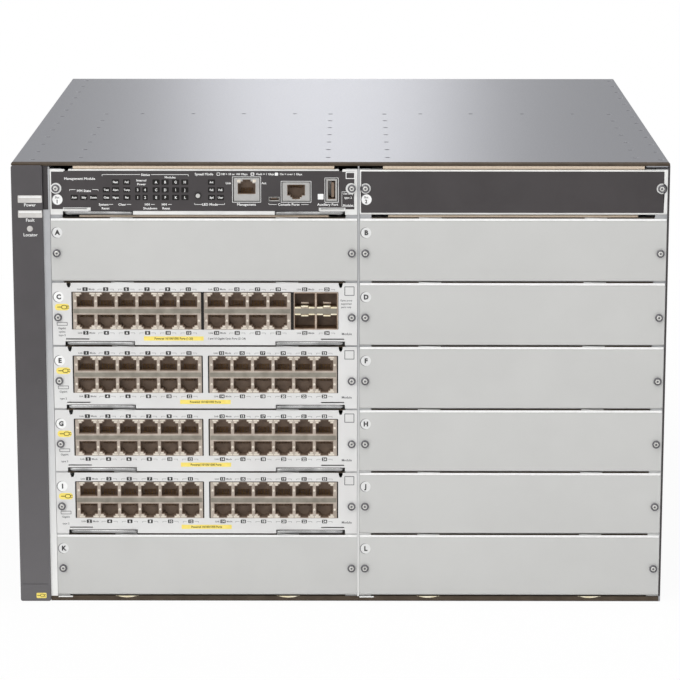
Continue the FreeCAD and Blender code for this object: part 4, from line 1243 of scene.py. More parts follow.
@dataclass
class Shelves:
    """Slot shelves with lens-shaped finger tongues, and the gasket strips of the top bays."""

    grid: SlotGrid
    tongue_inset: float = 48.1
    tongue_half: float = 7.85
    tongue_rise: float = 1.6

    def build(self) -> None:
        """Seven shelves in each column with smooth tongues."""
        shape = Shape()
        for row in range(self.grid.rows + 1):
            for column in (0, 1):
                loop = self._outline(column, row) + np.array([0, self.grid.front])
                shape.add(plate(loop, [], 1.2, 0.25, Facing.UP, self.grid.shelf(row), 2, 0.25), BARE_STEEL)
                self._edge_shade_strip(shape, column, row)
        shape.place("slot_ledges", "chassis", "bare_steel", ("slot_shelves",))
        self._gaskets()
        sill = Shape()
        left, right = self.grid.left - 4.7, self.grid.edge(1) + self.grid.width
        front, floor = self.grid.front, self.grid.shelf(0)
        # Bottom sill painted dark as shade.
        sill.box(PAINTED_EDGE_SHADE, left, right, front - 0.06, front + 0.3, 0.2, floor - 0.1, 0.1)
        for column in (0, 1):
            for edge, inward in self.grid.sides(column):
                x = edge + inward * self.tongue_inset
                # Lens-shaped painted highlight where a scoop in the sill catches light.
                lens = np.concatenate([arc(x, 3.0 + 20.0, 20.6, 248, 292, 12), [[x + 7.8, 3.6], [x - 7.8, 3.6]]])
                sill.mark(SPRING_HIGHLIGHT, front - 0.08, lens)
            x = self.grid.edge(column)
            sill.box(BRIGHT_SHEET, x + 0.4, x + 10.4, front - 0.1, front + 0.2, 2.5, 3.5, 0.1)
        sill.place("front_sill", "chassis", "bare_steel")

    def _outline(self, column: int, row: int) -> Array:
        """Shelf outline in x and y; a tongue is the arc of a circle through its width and rise.

        Args:
            column: Column, 0 or 1.
            row: Row, counted from the floor.

        Returns:
            Closed outline.
        """
        x0, x1 = self.grid.edge(column), self.grid.edge(column) + self.grid.width
        back, notch, side, edge = 243.5, 2.8, 8.45, 2.0
        if row == 0:
            return np.array([[x0, notch], [x1, notch], [x1, back], [x0, back]])
        radius = (self.tongue_half ** 2 + self.tongue_rise ** 2) / (2 * self.tongue_rise)
        half = math.degrees(math.asin(self.tongue_half / radius))
        tongues = [arc(x, edge - self.tongue_rise + radius, radius, 270 - half, 270 + half, 14)
                   for x in (x0 + self.tongue_inset, x1 - self.tongue_inset)]
        return np.concatenate([
            [[x0, notch], [x0 + side, notch], [x0 + side, edge]], tongues[0], tongues[1],
            [[x1 - side, edge], [x1 - side, notch], [x1, notch], [x1, back], [x0, back]]])

    def _edge_shade_strip(self, shape: Shape, column: int, row: int) -> None:
        """Strip of painted shade on the cut edge of a shelf, set back behind its tongues.

        Args:
            shape: Mesh that takes it.
            column: Column, 0 or 1.
            row: Row, counted from the floor.
        """
        x0, x1 = self.grid.edge(column) + 8.6, self.grid.edge(column) + self.grid.width - 8.6
        front, top = self.grid.front, self.grid.shelf(row)
        depth = 2.0 if row else 2.8
        shape.box(PAINTED_EDGE_SHADE, x0, x1, front + depth - 0.06, front + depth + 0.3, top - 1.18, top - 0.02, 0.05)

    def _gaskets(self) -> None:
        """Cushioned strips above and below the management plates, crowned along their length."""
        shape = Shape()
        front = self.grid.front
        for column in (0, 1):
            left, right = self.grid.edge(column), self.grid.edge(column) + self.grid.width
            shape.box(GASKET_CLOTH, left + 15.9, right - 15.9, front + 0.2, front + 4.0, self.grid.top - 2.4,
                      self.grid.top - 0.3, 0.5, 3)
            shelf = self.grid.shelf(TOP_ROW)
            shape.box(GASKET_CLOTH, left + 19.5, right - 19.5, front + 2.0, front + 5.0, shelf, shelf + 1.5, 0.6, 3)
        shape.place("gasket_strips", "chassis", "gasket_cloth", ("shield_gaskets",))


# ---------------------------------------------------------------- modules

@dataclass
class FacePlate:
    """Tray of a module: rounded face plate with its openings, folded top flange, floor, skids and ribs."""

    grid: SlotGrid
    row: int
    body: str
    node: str
    face: Finish
    openings: list[Array] = field(default_factory=list)

    def _slit(self, side: int) -> Array:
        """Narrow slot above a lever's eye.

        Args:
            side: 0 for the left, 1 for the right.

        Returns:
            Closed outline.
        """
        edge, inward = self.grid.sides(0)[side]
        x0, x1 = sorted((edge + inward * 9.1, edge + inward * 25.1))
        z = self.grid.shelf(self.row) + self.grid.lift(self.row) + 4.4
        return round_rectangle(x0, x1, z, z + 0.8, 0.35, 3)

    def _outline(self) -> Array:
        """Plate outline with lever recesses below and corner notches above.

        Returns:
            Closed outline.
        """
        shelf, lift = self.grid.shelf(self.row), self.grid.lift(self.row)
        x0, x1 = self.grid.edge(0) + self.grid.gap, self.grid.edge(0) + self.grid.width - self.grid.gap
        low, high, floor = self.grid.low(self.row), self.grid.high(self.row), shelf + 3.2 + lift
        left, right = self.grid.edge(0), self.grid.edge(0) + self.grid.width
        return np.array([
            [x0, low], [left + 8.7, low], [left + 8.7, floor], [left + 56.1, floor], [left + 56.1, low],
            [right - 56.1, low], [right - 56.1, floor], [right - 8.7, floor], [right - 8.7, low], [x1, low],
            [x1, high], [right - 10.2, high], [right - 10.9, high - 2.2], [right - 12.3, high - 2.2],
            [right - 13.0, high], [left + 13.0, high], [left + 12.3, high - 2.2], [left + 10.9, high - 2.2],
            [left + 10.2, high], [x0, high]])

    def build(self) -> None:
        """Face, flange, floor, skids, ribs and rivets as one piece."""
        g, front = self.grid, self.grid.front
        shape = Shape()
        holes = [self._slit(0), self._slit(1)] + self.openings
        shape.add(plate(self._outline(), holes, 1.0, 0.28, Facing.FRONT, front, 3), self.face)
        left, right = g.edge(0), g.edge(0) + g.width
        high, floor = g.high(self.row), g.shelf(self.row) + 3.2 + g.lift(self.row)
        if self.row < g.rows:
            for x0, x1 in ((left + 0.4, left + 10.2), (left + 13.0, right - 13.0), (right - 10.2, right - 0.4)):
                rolled_edge(shape, x0, x1, front, high, self.face)
        shape.box(self.face, left + 13.1, right - 13.1, front + 0.45, front + 8.0, high - 1.0, high - 0.02, 0.3)
        shape.box(BARE_STEEL, left + 9.2, right - 9.2, front + 0.3, front + 234.0, floor, floor + 1.0, 0.25)
        for edge, inward in g.sides(0):
            x0, x1 = sorted((edge + inward * 9.2, edge + inward * 10.2))
            shape.box(BARE_STEEL, x0, x1, front + 14.0, front + 234.0, g.shelf(self.row) + 0.3, floor + 0.4, 0.25)
            x0, x1 = sorted((edge + inward * 26.0, edge + inward * 32.0))
            shape.box(BARE_STEEL, x0, x1, front + 30.0, front + 222.0, floor + 0.8, g.shelf(self.row) + 9.75, 0.5, 3)
            self._rivet(shape, edge + inward * g.lever_inset, front + g.lever_depth, floor)
        shape.place(f"{self.node}_sheet", self.body, "module_white" if self.node != "mm_tray" else "charcoal_metal",
                    (self.node,))

    def _rivet(self, shape: Shape, x: float, y: float, floor: float) -> None:
        """Turned pin with a domed head below the lever.

        Args:
            shape: Mesh that takes it.
            x: Axis across.
            y: Axis in depth.
            floor: Tray floor that the pin hangs from.
        """
        top = self.grid.shelf(self.row) + self.grid.lift(self.row) + 0.82
        pin = np.array([[0.0, -0.1], [1.5, -0.1], [1.5, floor - top], [2.4, floor - top], [2.5, floor - top + 0.2],
                        [2.1, floor - top + 0.48], [0.0, floor - top + 0.5]])
        shape.add(revolved(pin, x, y, Facing.UP, floor, 24), SCREW_STEEL)


@dataclass
class Levers:
    """Bright stamped ejector levers with a round eye and a tapering arm."""

    grid: SlotGrid

    def _outline(self, edge: float, inward: int) -> Array:
        """Half circle about the pivot, joined to an arm that bends forward to a round tip.

        Args:
            edge: Side of the slot.
            inward: Direction into the slot.

        Returns:
            Closed outline.
        """
        eye = arc(self.grid.lever_inset, self.grid.lever_depth, 4.0, 90, 270, 18)
        bend = np.array([[24.0, -0.6], [34.0, -0.62], [40.0, -0.72], [44.0, -0.9], [48.0, -1.18], [51.5, -1.5]])
        tip = arc(54.3, -0.4, 1.4, 270, 360, 6)
        back = np.array([[55.7, 0.6], [54.6, 1.0], [50.0, 1.5], [43.0, 3.2], [38.0, 3.75], [26.0, 5.4], [18.0, 7.2]])
        outline = np.concatenate([eye, bend, tip, back])
        return outline * np.array([inward, 1.0]) + np.array([edge, self.grid.front])

    def build(self) -> None:
        """Ten levers, each on its own body."""
        for prefix, row in [("mm", self.grid.rows)] + list(CARDS.items()):
            z = self.grid.shelf(row) + self.grid.lift(row) + 0.9
            for (edge, inward), word in zip(self.grid.sides(0), ("left", "right")):
                hole = disc_loop(edge + inward * self.grid.lever_inset, self.grid.front + self.grid.lever_depth, 1.58,
                                 24)
                shape = Shape()
                shape.add(plate(self._outline(edge, inward), [hole], 2.0, 0.55, Facing.UP, z + 2.0, 4, 0.55),
                          LEVER_STEEL)
                name = f"{prefix}_lever_{word}"
                shape.place(f"{name}_arm", name, "lever_steel", (name,))


@dataclass
class NetworkSockets:
    """Ganged network sockets: shield, stepped openings, dark liners, gold wires and light pipes."""

    pitch: float = 14.05
    band: float = 5.2
    height: float = 26.0
    depth: float = 24.0
    recess: float = 0.5
    end_wall: float = 3.1
    # How far the painted shade reaches in from each end of a block.
    end_shade_width: float = 0.6
    stop: float = 7.5

    def width(self, columns: int) -> float:
        """Outside width of a block."""
        return (columns - 1) * self.pitch + 12.0 + 2 * self.end_wall

    @staticmethod
    def opening(x: float, z: float, up: bool, grow: float = 0.0) -> Array:
        """Opening outline: plug body, shoulders and latch notch, in steps; up puts the notch on top.

        Args:
            x: Middle across.
            z: Height at which the plug body starts.
            up: Whether the latch notch is on top.
            grow: Room added all round.

        Returns:
            Closed outline.
        """
        g = grow
        half = np.array([[6.0 + g, -g], [6.0 + g, 7.5 + g], [3.95 + g, 7.5 + g], [3.95 + g, 8.7 + g],
                         [2.7 + g, 8.7 + g], [2.7 + g, 10.0 + g]])
        loop = np.concatenate([half, half[::-1] * np.array([-1, 1])])
        return loop * np.array([1, 1 if up else -1]) + np.array([x, z])

    def single(self, shape: Shape, x: float, z: float, up: bool, front: float) -> None:
        """Liner, wires and back wall of one opening whose plug body starts at z.

        Args:
            shape: Mesh that takes it.
            x: Middle across.
            z: Height at which the plug body starts.
            up: Whether the latch notch is on top.
            front: Front plane.
        """
        liner = plate(self.opening(x, z, up), [self.opening(x, z, up, -0.25)], 12.2, 0.0, Facing.FRONT, front + 0.25, 1)
        shape.add(liner, PORT_PLASTIC)
        wall = self.opening(x, z, up, -0.2)
        shape.add(plate(wall, [], 0.8, 0.0, Facing.FRONT, front + self.stop, 1), PORT_PLASTIC)
        sign = 1 if up else -1
        for i in range(8):
            wx = x + (i - 3.5) * 1.02
            low, high = sorted((z + sign * 0.6, z + sign * 3.4))
            near, far = (low, high) if up else (high, low)
            wire = np.array([[front + 2.6, near], [front + 3.0, near], [front + 7.4, far], [front + 7.0, far]])
            shape.add(swept(np.stack([wire, wire]), np.array([wx - 0.18, wx + 0.18])), CONTACT_GOLD)

    def gang(self, shape: Shape, x: float, z: float, columns: int, front: float) -> None:
        """A block two rows high, standing at z about the middle x.

        Args:
            shape: Mesh that takes it.
            x: Middle across.
            z: Height of its foot.
            columns: Number of columns.
            front: Front plane.
        """
        half, middle = self.width(columns) / 2, z + self.height / 2
        centres = [x + (i - (columns - 1) / 2) * self.pitch for i in range(columns)]
        holes = [self.opening(cx, middle + s * self.band / 2, s > 0) for cx in centres for s in (1, -1)]
        shield = round_rectangle(x - half, x + half, z, z + self.height, 0.5, 3)
        level = front + self.recess
        shape.add(plate(shield, holes, 12.4, 0.18, Facing.FRONT, level, 2), JACK_SHIELD)
        shape.box(JACK_SHIELD, x - half, x + half, level + 12.4, level + self.depth, z, z + self.height, 0.3)
        for cx in centres:
            for s in (1, -1):
                self.single(shape, cx, middle + s * self.band / 2, s > 0, level)
                for side in (-1, 1):
                    self._pipe(shape, cx, middle, s, side, level)
        self._dimples(shape, centres, middle, level)
        self._band(shape, x, middle, half, level)

    def _pipe(self, shape: Shape, x: float, middle: float, sign: int, side: int, level: float) -> None:
        """Stepped end of the light pipe beside a latch notch, in two blocks.

        Args:
            shape: Mesh that takes it.
            x: Middle of the socket.
            middle: Height between the two rows.
            sign: 1 for the upper row, -1 for the lower.
            side: 1 for right, -1 for left.
            level: Plane of its face.
        """
        for near, far, low, high in ((4.15, 6.1, 7.75, 8.75), (2.95, 6.7, 8.9, 10.0)):
            x0, x1 = sorted((x + side * near, x + side * far))
            z0, z1 = sorted((middle + sign * (self.band / 2 + low), middle + sign * (self.band / 2 + high)))
            shape.box(LIGHT_PIPE_AND_HIGHLIGHT, x0, x1, level - 0.1, level + 0.4, z0, z1, 0.2)

    def _dimples(self, shape: Shape, centres: list[float], middle: float, level: float) -> None:
        """Low domes pressed out of the shield beside each opening, painted near white as highlights.

        Args:
            shape: Mesh that takes it.
            centres: Middles of the sockets.
            middle: Height between the two rows.
            level: Plane of its face.
        """
        half = self.pitch / 2
        turn = np.linspace(0, math.pi / 2, 5)
        dome = np.stack([0.85 * np.sin(turn), 0.18 * (1 - np.cos(turn))], axis=1)
        profile = np.concatenate([dome, [[0.85, 0.4], [0.0, 0.4]]])
        for x in [centres[0] - half] + [cx + half for cx in centres]:
            for sign in (-1, 1):
                z = middle + sign * (self.band / 2 + 4.2)
                shape.add(revolved(profile, x, z, Facing.FRONT, level - 0.18, 16), LIGHT_PIPE_AND_HIGHLIGHT)

    def _band(self, shape: Shape, x: float, middle: float, half: float, level: float) -> None:
        """Darker pressed band of the shield between the two rows, and painted shade in the gap at each end and along
        the top.

        Args:
            shape: Mesh that takes it.
            x: Middle of the block.
            middle: Height between the two rows.
            half: Half of the block's width.
            level: Plane of its face.
        """
        shape.box(SHIELD_BAND, x - half + 0.9, x + half - 0.9, level - 0.1, level + 0.3, middle - 1.7, middle + 1.5,
                  0.3)
        # Painted shade in the gaps between the block and the plate's opening.
        for side in (-1, 1):
            x0, x1 = sorted((x + side * (half - self.end_shade_width), x + side * (half + 0.25)))
            shape.box(PAINTED_SHADE_AND_BLACK_INK, x0, x1, level - 0.08, level + 0.2, middle - 13.0, middle + 13.1, 0.05)
        shape.box(PAINTED_SHADE_AND_BLACK_INK, x - half - 0.25, x + half + 0.25, level - 0.08, level + 0.2, middle + 12.8,
                  middle + 13.25, 0.05)


@dataclass
class OpticCage:
    """Two by two cage of folded steel for plug-in optics, with spring tongues and latch windows."""

    pitch: float = 15.1
    width: float = 13.9
    bay: float = 10.0
    wall: float = 0.6
    height: float = 26.0
    depth: float = 46.0

    def outside(self) -> float:
        """Outside width."""
        return self.pitch + self.width + 2 * self.wall

    def build(self, shape: Shape, x: float, z: float, level: float) -> None:
        """Front frame with four bays, liners, back wall, springs and latches.

        Args:
            shape: Mesh that takes it.
            x: Middle across.
            z: Height of its foot.
            level: Plane of its face.
        """
        half = self.outside() / 2
        rows = (z + self.wall, z + self.height - self.wall - self.bay)
        bays = [(cx, bz) for cx in (x - self.pitch / 2, x + self.pitch / 2) for bz in rows]
        loops = [self._bay(cx, bz, 0.0) for cx, bz in bays]
        frame = round_rectangle(x - half, x + half, z, z + self.height, 0.5, 3)
        shape.add(plate(frame, loops, 41.0, 0.15, Facing.FRONT, level, 2), CAGE_STEEL)
        shape.box(CAGE_STEEL, x - half, x + half, level + 41.0, level + self.depth, z, z + self.height, 0.3)
        middle = z + self.height / 2
        shape.box(SHIELD_BAND, x - half + 0.7, x + half - 0.7, level - 0.15, level + 0.3, middle - 2.2, middle + 2.0,
                  0.2)
        for cx, bz in bays:
            # The bay liners are painted darker as the shade inside the cage.
            shape.add(plate(self._bay(cx, bz, 0.02), [self._bay(cx, bz, 0.3)], 36.0, 0.0, Facing.FRONT,
                            level + 0.4, 1), CAGE_INSIDE_SHADE)
            shape.add(plate(self._bay(cx, bz, 0.02), [], 0.6, 0.0, Facing.FRONT, level + 12.0, 1), PORT_PLASTIC)
            upper = bz > middle
            self._tongues(shape, cx, bz if upper else bz + self.bay, 1 if upper else -1, level)

    def _bay(self, x: float, z: float, gap: float) -> Array:
        """Outline of one bay, drawn in by a gap."""
        return round_rectangle(x - self.width / 2 + gap, x + self.width / 2 - gap, z + gap, z + self.bay - gap,
                               0.4, 3)

    def _tongues(self, shape: Shape, x: float, z: float, sign: int, level: float) -> None:
        """Three spring tongues on the edge that faces the middle, painted bright as highlights, and a latch tab over
        the upper ones.

        Args:
            shape: Mesh that takes it.
            x: Middle of the bay.
            z: Height of the edge.
            sign: 1 on the upper bays, -1 on the lower.
            level: Plane of its face.
        """
        for dx, width, rise in ((-4.7, 4.1, 0.35), (0.0, 4.9, 1.25), (4.7, 4.1, 0.35)):
            z0, z1 = sorted((z + sign * (rise - 0.95), z + sign * rise))
            shape.box(SPRING_HIGHLIGHT, x + dx - width / 2, x + dx + width / 2, level - 0.35, level + 3.0, z0, z1, 0.25)
        if sign > 0:
            shape.box(CAGE_STEEL, x - 2.6, x + 2.6, level + 2.5, level + 6.0, z + 2.3, z + 3.2, 0.2)


@dataclass
class PortCards:
    """Port modules: tray, board, socket blocks and the generic print on their faces."""

    grid: SlotGrid
    sockets: NetworkSockets = field(default_factory=NetworkSockets)
    cage: OpticCage = field(default_factory=OpticCage)

    def groups(self, card: str) -> list[tuple[float, float, int]]:
        """Middle, width and columns of each group of sockets.

        Args:
            card: Letter of the card.

        Returns:
            Middle, width and number of columns of each group.
        """
        x = self.grid.centre(0)
        wide, narrow = self.sockets.width(6), self.sockets.width(4)
        if card == "c":
            return [(x - 46.25, wide, 6), (x + 28.95, narrow, 4), (x + 75.6, self.cage.outside(), 2)]
        return [(x - 46.25, wide, 6), (x + 46.25, wide, 6)]

    def columns(self, card: str) -> list[tuple[float, int]]:
        """X of each column of openings, with its place in its group.

        Args:
            card: Letter of the card.

        Returns:
            Middle of each column and its place in the group.
        """
        found = []
        for x, _, count in self.groups(card):
            pitch = self.cage.pitch if count == 2 else self.sockets.pitch
            found += [(x + (i - (count - 1) / 2) * pitch, i) for i in range(count)]
        return found

    def build(self) -> None:
        """The four cards."""
        for card, row in CARDS.items():
            body, bottom = f"module_{card}", self.grid.shelf(row) + 11.4
            openings = [round_rectangle(x - w / 2 - 0.3, x + w / 2 + 0.3, bottom, bottom + 26.3, 0.6, 3)
                        for x, w, _ in self.groups(card)]
            FacePlate(self.grid, row, body, f"{card}_tray", MODULE_WHITE, openings).build()
            shape = Shape()
            for x, _, count in self.groups(card):
                if count > 2:
                    self.sockets.gang(shape, x, bottom, count, self.grid.front)
            shape.place(f"{card}_socket_blocks", body, "jack_shield", (f"{card}_jacks",))
            if card == "c":
                cage = Shape()
                self.cage.build(cage, self.groups("c")[2][0], bottom, self.grid.front + 0.5)
                cage.place("c_optic_cage", body, "cage_steel", ("c_sfp_cage",))
            self._print(card, row)

    def _print(self, card: str, row: int) -> None:
        """Slot letter, port numbers on dark tiles, brackets, yellow band and outlined fields.

        Args:
            card: Letter of the card.
            row: Row, counted from the floor.
        """
        shape = Shape()
        g, level = self.grid, self.grid.front - PRINT_GAP
        shelf, left = g.shelf(row), g.edge(0)
        letter_disc(shape, left + 4.4, shelf + 34.2, level, SLOT_LETTERS[0][row])
        for number, (x, place) in enumerate(self.columns(card)):
            for z, step in ((shelf + 39.6, 1), (shelf + 9.2, 2)):
                self._tile(shape, x, z, level, str(2 * number + step), place == 0)
        self._yellow(shape, card, shelf, level)
        self._fields(shape, card, shelf, left, level)
        if card == "c":
            # Painted shade over the web between the groups of card c.
            for x, width, _ in self.groups(card)[:2]:
                shape.box(PAINTED_SHADE_AND_BLACK_INK, x + width / 2 - 0.25, x + width / 2 + 1.3, g.front - 0.03, g.front + 0.3,
                          shelf + 11.4, shelf + 37.6, 0.02)
        shape.place(f"{card}_print", f"module_{card}", "module_white")

    def _tile(self, shape: Shape, x: float, z: float, level: float, number: str, named: bool) -> None:
        """Dark tile with its number; a pair of words on the first of a group, thin hooks on the others.

        Args:
            shape: Mesh that takes it.
            x: Middle across.
            z: Middle height.
            level: Plane of the print.
            number: Number on the tile.
            named: Whether the small words stand beside it.
        """
        tile = round_rectangle(x - 1.8, x + 1.8, z - 1.3, z + 1.3, 0.5, 3)
        shape.mark(INK_DARK, level, tile)
        Lettering.stamp(shape, number, x, z, 1.7, WHITE_INK_AND_HIGHLIGHT, level - 0.02, weight=0.02)
        if named:
            Lettering.stamp(shape, "Link", x - 2.5, z, 1.2, INK_GREY, level, 1.0, weight=0.02)
            Lettering.stamp(shape, "Mode", x + 2.5, z, 1.2, INK_GREY, level, -1.0, weight=0.02)
            return
        for side in (-1, 1):
            for x0, x1, z0, z1 in ((2.6, 5.4, -0.1, 0.1), (5.2, 5.4, -0.9, 0.1)):
                a, b = sorted((x + side * x0, x + side * x1))
                shape.mark(INK_GREY, level, round_rectangle(a, b, z + z0, z + z1, 0.03, 1))

    def _yellow(self, shape: Shape, card: str, shelf: float, level: float) -> None:
        """Yellow band that names the powered ports, and the words for the optic ones.

        Args:
            shape: Mesh that takes it.
            card: Letter of the card.
            shelf: Height of the shelf.
            level: Plane of the print.
        """
        z = shelf + 5.3
        x0, x1 = (-134.2, -93.3) if card == "c" else (-109.9, -75.2)
        band = round_rectangle(x0, x1, z - 1.5, z + 1.5, 0.3, 2)
        shape.mark(INK_YELLOW, level, band)
        words = "Powered 10/100/1000 Ports (1-20)" if card == "c" else "Powered 10/100/1000 Ports"
        Lettering.stamp(shape, words, (x0 + x1) / 2, z, 1.5, INK_OLIVE, level - 0.02, narrow=0.86,
                        weight=0.03)
        if card == "c":
            Lettering.stamp(shape, "1 and 10 Gigabit Optic Ports (21-24)", x1 + 3.0, z, 1.4, INK_DARK,
                            level, -1.0, 0.86)

    def _fields(self, shape: Shape, card: str, shelf: float, left: float, level: float) -> None:
        """Yellow oval with an arrow, the small outlined field, the plain square and the small words.

        Args:
            shape: Mesh that takes it.
            card: Letter of the card.
            shelf: Height of the shelf.
            left: Left side of the slot.
            level: Plane of the print.
        """
        x, z = left + 6.9, shelf + 27.1
        oval = round_rectangle(x - 4.9, x + 4.9, z - 2.3, z + 2.3, 2.2, 6)
        shape.mark(INK_YELLOW, level, oval)
        arrow_sign(shape, x + 0.6, z, 1.0, level - 0.02, INK_OLIVE)
        self._frame(shape, left + 3.1, left + 10.4, shelf + 14.2, shelf + 16.6, 0.4, level)
        self._frame(shape, left + 199.2, left + 206.0, shelf + 35.2, shelf + 41.6, 0.5, level)
        lines = [("Module", 200.8, 8.6, 1.6), ("Gigabit", 6.6, 12.4, 1.3), ("type 2", 6.6, 7.6, 1.3)]
        if card == "c":
            lines += [("optics", 6.6, 10.0, 1.3), ("Optic ports", 200.4, 31.9, 1.2), ("supported", 200.4, 29.6, 1.2),
                      ("parts only", 200.4, 27.3, 1.2)]
        for word, across, up, height in lines:
            Lettering.stamp(shape, word, left + across, shelf + up, height, INK_GREY, level, weight=0.02)

    def _frame(self, shape: Shape, x0: float, x1: float, z0: float, z1: float, line: float, level: float) -> None:
        """Outlined rectangle with a line of the given width."""
        shape.mark(INK_GREY, level, round_rectangle(x0, x1, z0, z1, 0.3, 2),
                   round_rectangle(x0 + line, x1 - line, z0 + line, z1 - line, 0.1, 2))


@dataclass
class ManagementModule:
    """Management module: silver plate with a charcoal label, sockets, button and status words."""

    grid: SlotGrid
    sockets: NetworkSockets = field(default_factory=NetworkSockets)
    sizes: tuple[tuple[float, float, float], ...] = (
        (29.0, 17.6, 15.9), (62.4, 18.7, 12.9), (86.4, 7.6, 15.2), (47.6, 7.6, 2.9))

    def build(self) -> None:
        """Plate, label, sockets, button and print."""
        g = self.grid
        x, z = g.centre(0), g.shelf(TOP_ROW) + 11.4
        button = disc_loop(x - 3.85, g.shelf(TOP_ROW) + 15.2, 2.1, 28)
        openings = [round_rectangle(x + dx - w / 2 - 0.3, x + dx + w / 2 + 0.3, z - 0.3, z + h + 0.3, 0.5, 3)
                    for dx, w, h in self.sizes] + [button]
        FacePlate(g, 6, "management_module", "mm_tray", PLATE_SILVER, openings).build()
        self._label(openings)
        self._sockets(x, z)
        self._button(x - 3.85, g.shelf(TOP_ROW) + 15.2)
        shape = Shape()
        level = g.front - 0.19
        letter_disc(shape, g.edge(0) + 5.0, g.shelf(TOP_ROW) + 12.4, level, "1", "Slot")
        self._windows(shape, level)
        self._headings(shape, level - 0.01)
        self._lines(shape, level - 0.01)
        self._frames(shape, level - 0.01, x, z)
        shape.place("mm_print", "management_module", "charcoal_metal")

    def _label(self, openings: list[Array]) -> None:
        """Charcoal label sheet with cut-outs for the screws and sockets; its corners step in.

        Args:
            openings: Outlines of the openings.
        """
        g = self.grid
        left, right = g.edge(0), g.edge(0) + g.width
        low, high = g.shelf(TOP_ROW) + 4.6, g.high(TOP_ROW) - 1.0
        outline = np.array([[left + 1.2, low + 1.3], [left + 8.9, low + 1.3], [left + 8.9, low + 2.4],
                            [left + 27.6, low + 2.4], [left + 27.6, low], [right - 26.4, low],
                            [right - 26.4, low + 2.4], [right - 8.4, low + 2.4], [right - 8.4, low + 1.3],
                            [right - 2.4, low + 1.3], [right - 2.4, high - 0.6], [right - 10.6, high - 0.6],
                            [right - 10.6, high], [left + 9.6, high], [left + 9.6, high - 0.6],
                            [left + 1.2, high - 0.6]])
        height = g.shelf(TOP_ROW) + g.screw_height
        screws = [disc_loop(left + 4.3, height, 3.0, 24), disc_loop(right - 4.5, height, 3.0, 24)]
        shape = Shape()
        shape.add(plate(outline, openings, 0.15, 0.06, Facing.FRONT, g.front - 0.15, 2), CHARCOAL_METAL)
        for loop in screws:
            ring = (loop - loop.mean(axis=0)) * 1.25 + loop.mean(axis=0)
            shape.mark(PLATE_SILVER, g.front - 0.17, ring)
        shape.place("mm_label", "management_module", "charcoal_metal")

    def _sockets(self, x: float, z: float) -> None:
        """Network and console sockets, upright USB socket and the small one.

        Args:
            x: Where across the sockets are counted from.
            z: Height of their feet.
        """
        shape = Shape()
        level = self.grid.front + 0.5
        for (dx, w, h), up in zip(self.sizes[:2], (True, False)):
            start = z + h - 10.0 - 1.2 if up else z + 10.0 + 1.2
            hole = self.sockets.opening(x + dx, start, up)
            outline = round_rectangle(x + dx - w / 2, x + dx + w / 2, z, z + h, 0.5, 3)
            shape.add(plate(outline, [hole], 12.4, 0.25, Facing.FRONT, level, 3, hole_radius=0.15), BARE_STEEL)
            shape.box(BARE_STEEL, x + dx - w / 2, x + dx + w / 2, level + 12.4, level + 24.0, z, z + h, 0.3)
            self.sockets.single(shape, x + dx, start, up, level)
            for side in (-1, 1):
                if up:
                    x0, x1 = sorted((x + dx + side * 4.0, x + dx + side * 6.4))
                    shape.box(LIGHT_PIPE_AND_HIGHLIGHT, x0, x1, level - 0.2, level + 0.4, z + h - 3.2, z + h - 1.2, 0.25)
        self._usb(shape, x + 86.4, z, 7.6, 15.2, 1.3, 18.0, 2.2)
        self._usb(shape, x + 47.6, z, 7.6, 2.9, 0.5, 6.0, 0.6)
        shape.place("mm_socket_blocks", "management_module", "jack_shield", ("mm_sockets",))

    def _usb(self, shape: Shape, x: float, z: float, width: float, height: float, wall: float, depth: float,
             tongue: float) -> None:
        """Folded shell with a dark throat and its plastic tongue.

        Args:
            shape: Mesh that takes it.
            x: Middle across.
            z: Height of its foot.
            width: Outer width.
            height: Outer height.
            wall: Thickness of the shell.
            depth: Depth of the shell.
            tongue: Thickness of the tongue.
        """
        level = self.grid.front + 0.5
        outline = round_rectangle(x - width / 2, x + width / 2, z, z + height, 0.5, 3)
        hole = round_rectangle(x - width / 2 + wall, x + width / 2 - wall, z + wall, z + height - wall, 0.3, 3)
        shape.add(plate(outline, [hole], depth - wall - 0.5, 0.2, Facing.FRONT, level, 3), BARE_STEEL)
        shape.add(plate(outline, [], wall, 0.0, Facing.FRONT, level + depth - wall - 0.5, 1), BARE_STEEL)
        throat = round_rectangle(x - width / 2 + wall + 0.15, x + width / 2 - wall - 0.15, z + wall + 0.15,
                                 z + height - wall - 0.15, 0.25, 3)
        shape.add(plate(hole, [throat], depth - wall - 1.2, 0.0, Facing.FRONT, level + 0.5, 1), PORT_PLASTIC)
        if width < height:
            shape.box(PORT_PLASTIC, x - 0.2, x - 0.2 + tongue * 0.9, level + 1.0, level + depth - wall - 0.6,
                      z + wall + 1.2, z + height - wall - 1.2, 0.3)
        else:
            shape.box(PORT_PLASTIC, x - 1.9, x + 1.9, level + 0.6, level + depth - wall - 0.6, z + height / 2 - 0.1,
                      z + height / 2 + tongue - 0.1, 0.1)

    def _button(self, x: float, z: float) -> None:
        """Domed button with a rim behind the plate, and a dark ring of painted shade round it on the face.

        Args:
            x: Axis across.
            z: Axis up.
        """
        profile = np.array([[0.0, 0.12], [0.9, 0.02], [1.6, 0.1], [1.9, 0.35], [2.0, 0.7], [2.0, 2.3], [2.9, 2.3],
                            [2.9, 3.1], [0.0, 3.2]])
        shape = Shape()
        shape.add(revolved(profile, x, z, Facing.FRONT, self.grid.front - 1.2, 32), BUTTON_GREY)
        # Dark ring round the button: painted shade.
        rim = plate(disc_loop(x, z, 2.05, 32), [disc_loop(x, z, 1.5, 32)], 1.0, 0.2, Facing.FRONT,
                    self.grid.front - 1.22, 2)
        shape.add(rim, PAINTED_SHADE_AND_BLACK_INK)
        shape.place("mm_mode_button_cap", "mm_mode_button", "button_grey", ("mm_mode_button",))

